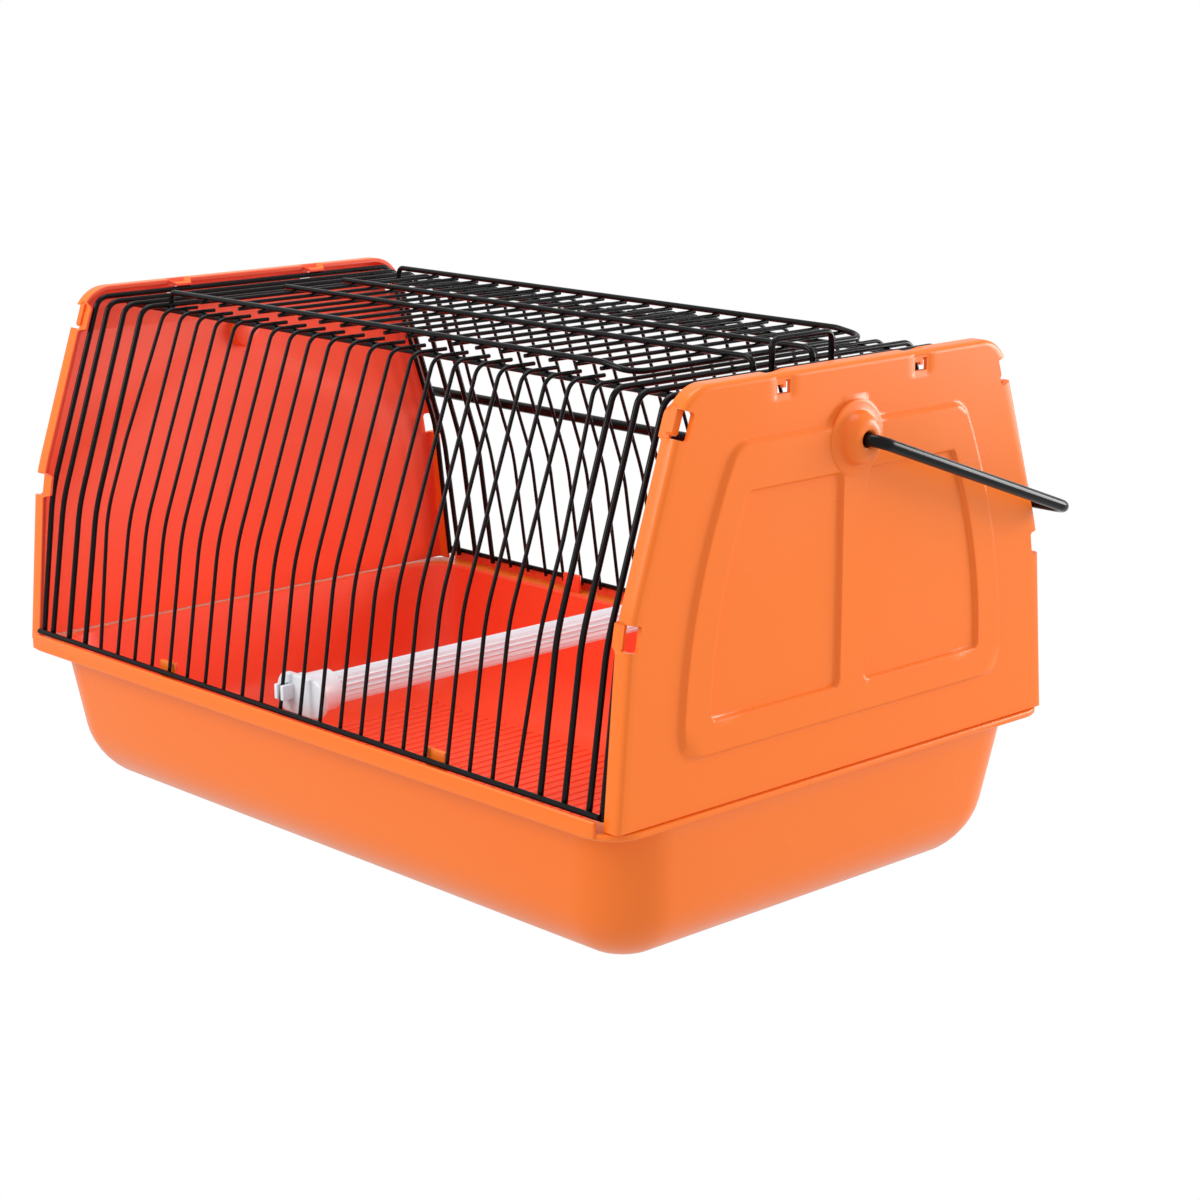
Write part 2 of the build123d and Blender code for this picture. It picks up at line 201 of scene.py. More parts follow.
ORANGE = finish("orange_plastic", (0.96, 0.200, 0.018), (0.94, 0.178, 0.014), 0.8, (0.22, 0.32), 14.0,
                700.0, 0.12, IOR=1.46, Specular_IOR_Level=0.4)
# Painted light and shade: the same orange, redder and darker, for inner faces, standing for light through the
# wall and shade inside.
ORANGE_PAINTED_SHADE = finish("orange_painted_shade_inside", (0.98, 0.098, 0.036), (0.97, 0.084, 0.030), 0.8,
                       (0.30, 0.42), 12.0, 700.0, 0.12, IOR=1.46)
BLACK = finish("black_coating", (0.002, 0.002, 0.0025), (0.004, 0.004, 0.005), 0.9, (0.14, 0.22), 60.0,
               500.0, 0.2, IOR=1.45, Specular_IOR_Level=0.22)
WHITE = finish("white_plastic", (0.80, 0.82, 0.86), (0.74, 0.76, 0.82), 0.7, (0.30, 0.40), 40.0, 900.0,
               0.1, IOR=1.46)
print("finishes", [m.name for m in (ORANGE, ORANGE_PAINTED_SHADE, BLACK, WHITE)])

# %% [markdown]
# ## Putting a piece in place
#
# Every piece is made straight in the carrier's own frame, so its object stays at the origin. `settle`
# does the bookkeeping that each one needs: it rides on its body and it takes the place of its model
# nodes.

# %% Helpers for every piece
def new_object(name, mesh):
    made = bpy.data.objects.new(name, mesh)
    bpy.context.scene.collection.objects.link(made)
    return made


def sketch(name, points, edges=()):
    """An object of bare points and edges, for a tree to work on."""
    mesh = bpy.data.meshes.new(name)
    mesh.from_pydata(points, edges, [])
    return new_object(name, mesh)


def shade(mesh, degrees):
    """Smooth shading, with edges sharp where they turn by more than an angle."""
    mesh.shade_smooth()
    mesh.set_sharp_from_angle(angle=math.radians(degrees))


def settle(piece, body, material, *nodes):
    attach(piece, body)
    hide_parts(*nodes)
    print(piece.name, "->", body, len(piece.data.polygons), "faces")
    return piece


def plain_mesh(piece):
    """Applies a piece's modifiers: the evaluated result becomes its mesh."""
    graph = bpy.context.evaluated_depsgraph_get()
    result = bpy.data.meshes.new_from_object(piece.evaluated_get(graph))
    piece.modifiers.clear()
    piece.data = result
    result.name = piece.name
    return piece


# %% [markdown]
# ## Wires
#
# A wire cage is bent from straight wire: flat runs joined by arcs of a small radius. Sweeping a circle
# along each path by hand works, but this cage has nearly a hundred wires, and most of them repeat. So
# the path is only the corners, with the radius of each bend stored beside it, and one Geometry Nodes
# tree does the rest: it rounds the corners, sweeps the wire, closes its ends and repeats it in a row.
# The tree has named inputs for the gauge and the row, so hoops, bars, rods and the handle share it.

# %% The tree that bends, sweeps and repeats a wire
def geometry_tree(name, inputs):
    """A Geometry Nodes tree with a geometry socket each way and the named inputs."""
    tree = bpy.data.node_groups.new(name, "GeometryNodeTree")
    socket(tree, "Geometry", "INPUT", "NodeSocketGeometry")
    for label, (kind, value) in inputs.items():
        socket(tree, label, "INPUT", kind, value)
    socket(tree, "Geometry", "OUTPUT", "NodeSocketGeometry")
    return tree, add(tree, "NodeGroupInput"), add(tree, "NodeGroupOutput")


def repeat(tree, points, instance, **feeds):
    """Places an instance on points and makes the copies real."""
    placed = add(tree, "GeometryNodeInstanceOnPoints", {"Points": points, "Instance": instance, **feeds})
    real = add(tree, "GeometryNodeRealizeInstances", {"Geometry": placed.outputs["Instances"]})
    return real.outputs["Geometry"]


def close_tree(tree, inside, outside, geometry):
    """Gives the geometry the tree's material and puts it out."""
    finished = add(tree, "GeometryNodeSetMaterial",
                   {"Geometry": geometry, "Material": inside.outputs["Material"]})
    tree.links.new(finished.outputs["Geometry"], outside.inputs["Geometry"])
    return tree


def row_of_points(tree, inside):
    """A line of points along X, by the tree's count and pitch."""
    step = add(tree, "ShaderNodeCombineXYZ", {"X": inside.outputs["Pitch"]})
    row = add(tree, "GeometryNodeMeshLine",
              {"Count": inside.outputs["Copies"], "Offset": step.outputs["Vector"]}, mode="OFFSET")
    return row.outputs["Mesh"]


def sweep(tree, curve, profile):
    """Sweeps a profile along a curve and closes the ends."""
    swept = add(tree, "GeometryNodeCurveToMesh",
                {"Curve": curve, "Profile Curve": profile, "Fill Caps": True})
    return swept.outputs["Mesh"]


def wire_tree():
    tree, inside, outside = geometry_tree("bent_wire", {
        "Diameter": ("NodeSocketFloat", 0.002), "Sides": ("NodeSocketInt", 12),
        "Arc Steps": ("NodeSocketInt", 7), "Copies": ("NodeSocketInt", 1),
        "Pitch": ("NodeSocketFloat", 0.01), "Material": ("NodeSocketMaterial", None)})
    given = inside.outputs
    curve = add(tree, "GeometryNodeMeshToCurve", {"Mesh": given["Geometry"]})
    bend = add(tree, "GeometryNodeInputNamedAttribute", {"Name": "bend"}, data_type="FLOAT")
    rounded = add(tree, "GeometryNodeFilletCurve", {
        "Curve": curve.outputs["Curve"], "Radius": bend.outputs["Attribute"], "Count": given["Arc Steps"],
        "Limit Radius": True}, mode="POLY")
    half = add(tree, "ShaderNodeMath", {0: given["Diameter"], 1: 0.5}, operation="MULTIPLY")
    ring = add(tree, "GeometryNodeCurvePrimitiveCircle",
               {"Radius": half.outputs[0], "Resolution": given["Sides"]})
    wire = sweep(tree, rounded.outputs["Curve"], ring.outputs["Curve"])
    return close_tree(tree, inside, outside, repeat(tree, row_of_points(tree, inside), wire))


WIRE_TREE = wire_tree()
print("tree", WIRE_TREE.name, "with", len(WIRE_TREE.nodes), "nodes")


# %% Run a tree on a mesh, and lay out wire paths
def grow(piece, tree, **values):
    """Adds the tree as a modifier, sets its inputs by their identifiers, and keeps the result."""
    modifier = piece.modifiers.new(tree.name, "NODES")
    modifier.node_group = tree
    keys = {item.name: item.identifier for item in tree.interface.items_tree
            if item.item_type == "SOCKET" and item.in_out == "INPUT"}
    for label, value in values.items():
        modifier[keys[label.replace("_", " ")]] = value
    return plain_mesh(piece)


def wires(name, paths, diameter, copies=1, pitch=0.0, sides=12, steps=7):
    """Wires from paths of (corner, bend radius), made one after another along X when copies is more."""
    corners = [Vector(point) for path in paths for point, _ in path]
    edges = []
    start = 0
    for path in paths:
        edges += [(start + i, start + i + 1) for i in range(len(path) - 1)]
        start += len(path)
    piece = sketch(name, corners, edges)
    bends = piece.data.attributes.new("bend", "FLOAT", "POINT")
    bends.data.foreach_set("value", [radius for path in paths for _, radius in path])
    made = grow(piece, WIRE_TREE, Diameter=diameter, Sides=sides, Arc_Steps=steps, Copies=copies,
                Pitch=pitch, Material=BLACK)
    shade(made.data, 50)
    return made


def both_ways(half):
    """A symmetric path: a list of ((x, y, z), bend) for the front, then the same mirrored to the back."""
    return half + [((x, -y, z), bend) for (x, y, z), bend in reversed(half)]


# %% [markdown]
# ### Hoops and frame wires
#
# The thick wires at each end run in one piece from the front bottom rod over the roof to the back one.
# They differ only in where they stand, so one path made three times over, at the cage's pitch, gives
# each end its group. The frame wires inside the end panels have a slightly wider bend line.

# %% Hoops
def hoop_path(x, knee, shoulder):
    half = [((x, -foot_y(THICK), WIRE_FOOT), 0), ((x, -knee[0], knee[1]), KNEE_RADIUS),
            ((x, -shoulder[0], shoulder[1]), SHOULDER_RADIUS)]
    return both_ways(half)


LEFT_FIRST = middle("left_hoop_outer").x
RIGHT_FIRST = middle("right_hoop_inner").x
HOOPS_AT_END = 3
for end, start_x, nodes in (("left", LEFT_FIRST, ("left_hoop_outer", "left_hoop_inner", "hinge_hoop")),
                            ("right", RIGHT_FIRST, ("right_hoop_inner", "catch_hoop", "right_hoop_outer"))):
    hoops = wires(f"{end}_hoops", [hoop_path(start_x, KNEE, SHOULDER_WIDE)], THICK, HOOPS_AT_END, PITCH,
                  sides=14, steps=9)
    settle(hoops, "cage", BLACK, *nodes)

FRAME_KNEE = (87.7 * MM, 103.0 * MM)
FRAME_SHOULDER = (65.4 * MM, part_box("frame_wire_left")[1].z - THICK / 2)
for side in ("left", "right"):
    node = f"frame_wire_{side}"
    settle(wires(f"{side}_frame_wire", [hoop_path(middle(node).x, FRAME_KNEE, FRAME_SHOULDER)], THICK,
                 sides=14), "cage", BLACK, node)

# %% [markdown]
# ### Bars
#
# Between the hoops stand thinner bars. Each is welded to the inner side of the bottom rod, follows the
# same bend line and ends in a short leg laid over the roof rod. The first bar at the left is pushed
# sideways a little, as in a cage that has been handled. So is the last thin wire at the right, which
# runs over the roof. The straight bars are one path repeated.

# %% Bars and the thin hoop
BAR_LEG = 13.5 * MM
BOW = 3.2 * MM
BOW_TOP = 125 * MM
BOW_RADIUS = 40 * MM
BAR_COUNT = 20
THIN_HOOP_X = RIGHT_FIRST - PITCH
BOWED_X = LEFT_FIRST + HOOPS_AT_END * PITCH
UPRIGHT_COUNT = 2 * HOOPS_AT_END + BAR_COUNT + 2


def side_y(height):
    """Half depth of the straight upper run at a height."""
    slope = (SHOULDER[0] - KNEE[0]) / (SHOULDER[1] - KNEE[1])
    return KNEE[0] + slope * (height - KNEE[1])


def upright_path(x, side, bow=0.0):
    path = [((x, side * foot_y(THIN), WIRE_FOOT), 0), ((x + bow, side * KNEE[0], KNEE[1]), KNEE_RADIUS)]
    if bow:
        path.append(((x + bow, side * side_y(BOW_TOP), BOW_TOP), BOW_RADIUS))
    path.append(((x, side * SHOULDER[0], SHOULDER[1]), SHOULDER_RADIUS))
    return path


def bar_path(x, side, bow=0.0):
    return upright_path(x, side, bow) + [((x, side * (SHOULDER[0] - BAR_LEG), SHOULDER[1]), 0)]


for side, label in ((-1, "front"), (1, "back")):
    bars = wires(f"{label}_straight_bars", [bar_path(BOWED_X + PITCH, side)], THIN, BAR_COUNT, PITCH, 10)
    bowed = wires(f"{label}_bowed_bar", [bar_path(BOWED_X, side, -BOW)], THIN, sides=10)
    settle(bars, "cage", BLACK, f"{label}_bars")
    settle(bowed, "cage", BLACK, f"{label}_bars")

thin_hoop = wires("thin_hoop_wire", [both_ways(upright_path(THIN_HOOP_X, -1, BOW))], THIN, sides=10)
settle(thin_hoop, "cage", BLACK, "thin_hoop")

# %% [markdown]
# ### Rods
#
# Four straight rods tie the uprights together: one at the foot of each side and one under the roof at
# each side. They take their places and ends from the model.

# %% Rods
for node in ("bottom_rod_front", "bottom_rod_back", "roof_rod_front", "roof_rod_back"):
    low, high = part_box(node)
    centre = middle(node)
    path = [((low.x, centre.y, centre.z), 0), ((high.x, centre.y, centre.z), 0)]
    settle(wires(f"{node}_wire", [path], THICK, sides=14), "cage", BLACK, node)

# %% [markdown]
# ### The roof door
#
# The door is one wire bent into a frame whose rails curl down round the hinge hoop. Cross wires lie
# under the rails, and two long stays lie over them and end in hooks that drop between the thick hoops.
# The rails dip at the front edge so that they pass under the stays.

# %% Door frame, stays and cross wires
EYE_RADIUS = THICK + 0.4 * MM
HINGE = (middle("hinge_hoop").x, SHOULDER_WIDE[1])
DOOR_Z = 171.6 * MM
DOOR_HALF = 51 * MM
DOOR_RIGHT = 109.5 * MM
DIP_LENGTH = 12 * MM
STAY_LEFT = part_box("door_stay_front")[0].x
HOOK_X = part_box("door_stay_front")[1].x - THICK / 2
HOOK_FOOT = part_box("door_stay_front")[0].z

curl = EYE_RADIUS * 0.95
under = HINGE[1] - EYE_RADIUS
rail = [((HINGE[0] + EYE_RADIUS, -DOOR_HALF, under), 0), ((HINGE[0] - EYE_RADIUS, -DOOR_HALF, under), curl),
        ((HINGE[0] - EYE_RADIUS, -DOOR_HALF, DOOR_Z), curl),
        ((DOOR_RIGHT - DIP_LENGTH, -DOOR_HALF, DOOR_Z), 18 * MM),
        ((DOOR_RIGHT, -DOOR_HALF, DOOR_Z - THICK + WELD), 6 * MM)]
settle(wires("door_frame_wire", [both_ways(rail)], THICK, sides=14), "door", BLACK, "door_frame")

for node in ("door_stay_front", "door_stay_back"):
    y = middle(node).y
    stay = [((STAY_LEFT, y, DOOR_Z), 0), ((HOOK_X, y, DOOR_Z), 3 * MM), ((HOOK_X, y, HOOK_FOOT), 0)]
    settle(wires(f"{node}_wire", [stay], THICK, sides=14), "door", BLACK, node)

low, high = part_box("door_cross_wires")
CROSS_PITCH = 11 * MM
CROSS_COUNT = round((high.x - low.x - THIN) / CROSS_PITCH) + 1
cross_z = (low.z + high.z) / 2
first = low.x + THIN / 2
cross = [((first, low.y, cross_z), 0), ((first, high.y, cross_z), 0)]
settle(wires("door_cross_rungs", [cross], THIN, CROSS_COUNT, CROSS_PITCH, 10), "door", BLACK,
       "door_cross_wires")

# %% [markdown]
# ### The latch bail
#
# The latch is a small U of the same wire whose feet curl under and round one of the thick hoops.

# %% Latch bail
CATCH_X = middle("catch_hoop").x
LATCH_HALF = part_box("latch_bail")[1].y - THICK / 2
LATCH_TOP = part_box("latch_bail")[1].z - THICK / 2
LATCH_TIP = 0.3 * MM
half_latch = [((CATCH_X - EYE_RADIUS, -LATCH_HALF, HINGE[1] + LATCH_TIP), 0),
              ((CATCH_X - EYE_RADIUS, -LATCH_HALF, under), EYE_RADIUS * 0.98),
              ((CATCH_X + EYE_RADIUS, -LATCH_HALF, under), EYE_RADIUS * 0.98),
              ((CATCH_X + EYE_RADIUS, -LATCH_HALF, LATCH_TOP), 2.6 * MM)]
settle(wires("latch_wire", [both_ways(half_latch)], THICK, sides=14), "latch", BLACK, "latch_bail")

# %% [markdown]
# ### The handle
#
# The handle is a heavier wire. Its ends pass through the bosses and are flattened inside the panels so
# that they can't pull out. At rest it lies folded back.

# %% Handle
PIVOT_Z = 150 * MM
ARM_X = 160 * MM
ARM = 99 * MM
FOLD = math.radians(-19.7)
HANDLE_END = 145.4 * MM
HEAD = (7 * MM, 1.2 * MM)
PIVOT_BEND = 4.9 * MM
CORNER_BEND = 7 * MM
corner = (ARM * math.cos(FOLD), PIVOT_Z + ARM * math.sin(FOLD))
handle_path = [((-HANDLE_END, 0, PIVOT_Z), 0), ((-ARM_X, 0, PIVOT_Z), PIVOT_BEND),
               ((-ARM_X, *corner), CORNER_BEND), ((ARM_X, *corner), CORNER_BEND),
               ((ARM_X, 0, PIVOT_Z), PIVOT_BEND), ((HANDLE_END, 0, PIVOT_Z), 0)]
settle(wires("handle_wire", [handle_path], HANDLE_WIRE, sides=20, steps=12), "handle", BLACK, "handle_bail")
heads = [[((side * HANDLE_END, 0, PIVOT_Z), 0), ((side * (HANDLE_END + HEAD[1]), 0, PIVOT_Z), 0)]
         for side in (-1, 1)]
settle(wires("handle_heads", heads, HEAD[0], sides=24), "handle", BLACK, "handle_bail")

# %% [markdown]
# ## Plastic shells
#
# An injection-moulded shell has the same wall all over, soft rounded edges and raised areas whose walls
# slope so that the part leaves its mould. Cutting such shapes out of blocks gives knife edges. Here a
# shell is a set of rings or a grid whose points are placed by a formula, so every edge gets its radius.
#
# ### End panels
#
# An end panel is a shallow cap: a face, a rounded edge and a rim that wraps the end of the cage. Its
# face carries a raised frame with two sunk windows. The face is a grid whose columns lean with the
# windows' sides, so a grid line runs along every edge of the relief, and the height of each point comes
# from its distance to the outlines.

# %% The panel's outline
FOOT = (95.25 * MM, 50 * MM)
PANEL_KNEE = (90.3 * MM, 107.7 * MM)
PANEL_TOP = (68.6 * MM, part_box("end_panel_right")[1].z)
PANEL_KNEE_RADIUS = 60 * MM
PANEL_TOP_RADIUS = 13 * MM
SKIN = 1.6 * MM
EDGE_RADIUS = 1.7 * MM
RIM_DEPTH = 6 * MM
TOP_STEPS = 14


def arc_at(corner, before, after, radius, steps):
    """Points and outward normals of the arc that rounds a corner between two straight runs."""
    corner, before, after = (np.array(p) for p in (corner, before, after))
    to_before = (before - corner) / np.linalg.norm(before - corner)
    to_after = (after - corner) / np.linalg.norm(after - corner)
    turn = math.acos(np.clip(to_before @ to_after, -1, 1))
    bisector = (to_before + to_after) / np.linalg.norm(to_before + to_after)
    centre = corner + bisector * radius / math.sin(turn / 2)
    starts = centre + radius * unit(corner + to_before * radius / math.tan(turn / 2) - centre)
    ends = centre + radius * unit(corner + to_after * radius / math.tan(turn / 2) - centre)
    first, last = (math.atan2(*(p - centre)[::-1]) for p in (starts, ends))
    angles = np.linspace(first, last, steps + 1)
    normals = np.stack([np.cos(angles), np.sin(angles)], 1)
    return centre + radius * normals, normals


def unit(vector):
    return vector / np.linalg.norm(vector)


def side_outline():
    """The half outline from the foot to the start of the flat top: points and outward normals."""
    crown = (0.0, PANEL_TOP[1])
    knee, knee_normals = arc_at(PANEL_KNEE, FOOT, PANEL_TOP, PANEL_KNEE_RADIUS, 8)
    top, top_normals = arc_at(PANEL_TOP, PANEL_KNEE, crown, PANEL_TOP_RADIUS, TOP_STEPS)
    points = np.vstack([[FOOT], knee, top])
    normals = np.vstack([knee_normals[:1], knee_normals, top_normals])
    return points, normals


OUTLINE, OUTLINE_NORMALS = side_outline()
TOP_ARC = slice(-(TOP_STEPS + 1), None)
print("panel outline", len(OUTLINE), "points, flat top half width", round(OUTLINE[-1][0] / MM, 1), "mm")

# %% Where the rim clips over the frame wire
CLIP_TOP_Y = 30 * MM
CLIP_TOP_REACH = 3.8 * MM
CLIP_UPPER_Z = 162.5 * MM
CLIP_UPPER_REACH = 4.2 * MM
CLIP_LOWER_Z = 105.2 * MM
CLIP_LOWER_REACH = 3.8 * MM
CLIP_EDGE = 0.5 * MM
CLIP_SINK = 1.3 * MM
CLIP_DEPTH = 2.7 * MM


def step_up(value, start, end):
    """0 before start, 1 after end, with a smooth rise between."""
    t = np.clip((value - start) / (end - start), 0, 1)
    return t * t * (3 - 2 * t)


def in_clip(y, z):
    """1 where a rim point lies in a clip, 0 away from clips."""
    flat = z > PANEL_TOP[1] - 0.5 * MM
    along = np.where(flat, np.abs(np.abs(y) - CLIP_TOP_Y) - CLIP_TOP_REACH,
                     np.minimum(np.abs(z - CLIP_UPPER_Z) - CLIP_UPPER_REACH,
                                np.abs(z - CLIP_LOWER_Z) - CLIP_LOWER_REACH))
    return 1 - step_up(along, -CLIP_EDGE, CLIP_EDGE)


# %% The relief on the face
RAISE = 1.3 * MM
RAISED_SIDE = [(71 * MM, 66 * MM), (68 * MM, 102 * MM), (50 * MM, 154.5 * MM)]
WINDOW_SIDE = [(59.5 * MM, 76 * MM), (57 * MM, 103 * MM), (45 * MM, 140.5 * MM)]
MULLION = 5.5 * MM
ARCH_RADIUS = 11 * MM
ARCH_BLEND = 2.5 * MM
FRAME_RADIUS = 8 * MM
FRAME_SLOPE = (-0.9 * MM, 0.7 * MM)
WINDOW_RADIUS = 2.5 * MM
WINDOW_SLOPE = (-0.55 * MM, 0.35 * MM)
PAD_SINK = 0.35 * MM
PAD_DEPTH = 7 * MM
PAD_SLOPE = (-0.4 * MM, 0.4 * MM)


def side_at(side, z):
    """Half depth of a gently curved side at a height: a parabola through three points."""
    (y0, z0), (y1, z1), (y2, z2) = side
    a = (z - z1) * (z - z2) / ((z0 - z1) * (z0 - z2))
    b = (z - z0) * (z - z2) / ((z1 - z0) * (z1 - z2))
    c = (z - z0) * (z - z1) / ((z2 - z0) * (z2 - z1))
    return a * y0 + b * y1 + c * y2


def side_points(side, count=9):
    heights = np.linspace(side[0][1], side[-1][1], count)
    return [(side_at(side, z), z) for z in heights]


def distance(y, z, outline, radius):
    """Signed distance to a closed outline with rounded corners, below zero inside."""
    corners = np.array(outline)
    centre = corners.mean(0)
    best = np.full(y.shape, 1e9)
    inside = np.ones(y.shape, bool)
    shrunk = []
    for before, here, after in zip(np.roll(corners, 1, 0), corners, np.roll(corners, -1, 0)):
        n1, n2 = (outward(a, b, centre) for a, b in ((before, here), (here, after)))
        shrunk.append(here - radius * (n1 + n2) / (1 + n1 @ n2))
    for a, b in zip(shrunk, np.roll(shrunk, -1, 0)):
        along = b - a
        t = np.clip(((y - a[0]) * along[0] + (z - a[1]) * along[1]) / (along @ along), 0, 1)
        best = np.minimum(best, np.hypot(y - a[0] - t * along[0], z - a[1] - t * along[1]))
        normal = outward(a, b, centre)
        inside &= (y - a[0]) * normal[0] + (z - a[1]) * normal[1] < 0
    return np.where(inside, -best, best) - radius


def outward(a, b, centre):
    """The unit normal of a run from a to b that points away from a centre."""
    normal = unit(np.array([b[1] - a[1], a[0] - b[0]]))
    return normal if normal @ (np.array(a) - centre) > 0 else -normal


def relief(y, z):
    """Height of the panel's face above its border."""
    side = side_points(RAISED_SIDE)
    frame_edge = distance(y, z, side + [(-a, b) for a, b in reversed(side)], FRAME_RADIUS)
    arch = np.hypot(y, z - PIVOT_Z) - ARCH_RADIUS
    mix = np.clip(0.5 + (arch - frame_edge) / (2 * ARCH_BLEND), 0, 1)
    raised = arch * (1 - mix) + frame_edge * mix - ARCH_BLEND * mix * (1 - mix)
    height = RAISE * (1 - step_up(raised, *FRAME_SLOPE))
    window = side_points(WINDOW_SIDE)
    window += [(MULLION, WINDOW_SIDE[-1][1]), (MULLION, WINDOW_SIDE[0][1])]
    sunk = distance(np.abs(y), z, window, WINDOW_RADIUS)
    height = height - RAISE * (1 - step_up(sunk, *WINDOW_SLOPE))
    pad = np.maximum(np.abs(np.abs(y) - CLIP_TOP_Y) - CLIP_TOP_REACH, PANEL_TOP[1] - PAD_DEPTH - z)
    return height - PAD_SINK * (1 - step_up(pad, *PAD_SLOPE))


print("relief at the border, the frame and a window:",
      np.round(relief(np.array([80, 64, 30]) * MM, np.array([90, 90, 110]) * MM) / MM, 2), "mm")


# %% Lay the face's grid along the relief
def fill(marks, reach, fine, coarse, low, high):
    """Sorted places from low to high: fine near the marks and coarse elsewhere."""
    places = [low]
    while places[-1] < high - 1e-9:
        near = any(abs(places[-1] + fine / 2 - mark) < reach for mark in marks)
        places.append(min(places[-1] + (fine if near else coarse), high))
    return places


def column_places(z, edge):
    """Half depths of the grid's columns at a height, from the middle to the edge."""
    window, raised = (side_at(side, min(max(z, side[0][1]), side[-1][1]))
                      for side in (WINDOW_SIDE, RAISED_SIDE))
    stops = [(MULLION - 1.2 * MM, 1), (MULLION + 1.2 * MM, 6), (12 * MM, 6),
             (CLIP_TOP_Y - 4.6 * MM, 6), (CLIP_TOP_Y + 4.6 * MM, 12), (window - 1.4 * MM, 4),
             (window + 1.4 * MM, 7), (raised - 1.6 * MM, 3), (raised + 1.6 * MM, 8), (edge, 8)]
    places, start = [0.0], 0.0
    for end, count in stops:
        places += [start + (end - start) * i / count for i in range(1, count + 1)]
        start = end
    return np.array(places)


FRAME_CORNER = 146 * MM
marks = [RAISED_SIDE[0][1], WINDOW_SIDE[0][1], WINDOW_SIDE[-1][1], RAISED_SIDE[-1][1],
         CLIP_LOWER_Z - CLIP_LOWER_REACH, CLIP_LOWER_Z + CLIP_LOWER_REACH,
         CLIP_UPPER_Z - CLIP_UPPER_REACH, CLIP_UPPER_Z + CLIP_UPPER_REACH, PIVOT_Z, FRAME_CORNER]
ARC_START = OUTLINE[TOP_ARC][0][1]
ROW_HEIGHTS = fill(marks, reach=2.2 * MM, fine=0.5 * MM, coarse=2.4 * MM, low=FOOT[1], high=ARC_START)
print("rows", len(ROW_HEIGHTS), "columns", 2 * len(column_places(0.1, 0.09)) - 1)

# %% [markdown]
# The grid's border is then carried round the edge: over the rounded corner, along the rim, round the
# rim's end and back along the inside. Each ring is the outline moved in by an inset at a depth, so the
# whole shell is a short list of (inset, depth, sink, reach). The last two say how far the ring follows
# the clips, where the rim is sunk and reaches further inboard, over the frame wire.

# %% Build the shell of the right-hand panel
RIM_SOFT = 0.25 * MM
SKIN_SOFT = 0.8 * MM
CLIP_RISE = (3.2 * MM, 3.9 * MM)


def border(points, normals, top_places):
    """The outline as one open loop from the left foot over the top to the right foot."""
    left = [(-y, z) for y, z in points]
    left_normals = [(-a, b) for a, b in normals]
    top = [(y, points[-1][1]) for y in top_places]
    loop = left + top + list(reversed([tuple(p) for p in points]))
    loop_normals = left_normals + [(0, 1)] * len(top) + list(reversed([tuple(n) for n in normals]))
    return np.array(loop), np.array(loop_normals)


def panel_shell():
    heights = np.array(ROW_HEIGHTS[:-1])
    low_y = np.interp(heights, OUTLINE[:, 1], OUTLINE[:, 0])
    low_n = np.stack([np.interp(heights, OUTLINE[:, 1], OUTLINE_NORMALS[:, i]) for i in (0, 1)], 1)
    low_n[0] = (1, 0)
    points = np.vstack([np.stack([low_y, heights], 1), OUTLINE[TOP_ARC]])
    normals = np.vstack([low_n, OUTLINE_NORMALS[TOP_ARC]])
    inner = points - EDGE_RADIUS * normals

    rows = []
    for y_edge, z in inner:
        half = column_places(z, y_edge)
        rows.append([(y, z) for y in np.concatenate([-half[:0:-1], half])])
    grid = np.array(rows)
    height = relief(grid[..., 0], grid[..., 1])
    row_count, column_count = grid.shape[:2]
    vertices = [(HALF + h, y, z) for (y, z), h in zip(grid.reshape(-1, 2), height.reshape(-1))]
    faces = []
    for r in range(row_count - 1):
        for c in range(column_count - 1):
            i = r * column_count + c
            faces.append((i, i + 1, i + column_count + 1, i + column_count))

    top_places = grid[-1, 1:-1, 0]
    loop, loop_normals = border(points, normals, top_places)
    clip = in_clip(loop[:, 0], loop[:, 1])
    last_row = (row_count - 1) * column_count
    before = [r * column_count for r in range(row_count)]
    before += [last_row + c for c in range(1, column_count - 1)]
    before += [r * column_count + column_count - 1 for r in reversed(range(row_count))]

    rings = [(EDGE_RADIUS * (1 - math.sin(a)), EDGE_RADIUS * (1 - math.cos(a)), 0, 0)
             for a in np.radians([22.5, 45, 67.5, 90])]
    rings += [(0, CLIP_RISE[0], 0, 0), (0, CLIP_RISE[1], 1, 0), (0, RIM_DEPTH - RIM_SOFT, 1, 1),
              (RIM_SOFT, RIM_DEPTH, 1, 1), (SKIN - RIM_SOFT, RIM_DEPTH, 0.5, 1),
              (SKIN, RIM_DEPTH - RIM_SOFT, 0.5, 1), (SKIN, CLIP_RISE[1], 0.5, 0),
              (SKIN, SKIN + SKIN_SOFT, 0, 0), (SKIN + RIM_SOFT, SKIN + RIM_SOFT, 0, 0),
              (SKIN + SKIN_SOFT, SKIN, 0, 0)]
    left_foot, right_foot = [before[0]], [before[-1]]
    for inset, depth, sink, reach in rings:
        moved = loop - (inset + CLIP_SINK * sink * clip)[:, None] * loop_normals
        deep = depth + CLIP_DEPTH * reach * clip
        start = len(vertices)
        vertices += [(HALF - d, y, z) for d, (y, z) in zip(deep, moved)]
        here = list(range(start, len(vertices)))
        faces += [(before[i], before[i + 1], here[i + 1], here[i]) for i in range(len(here) - 1)]
        before = here
        left_foot.append(here[0])
        right_foot.append(here[-1])
    faces.append(tuple(before))
    faces.append(tuple(range(column_count)) + tuple(right_foot[1:]) + tuple(reversed(left_foot[1:])))
    return vertices, faces


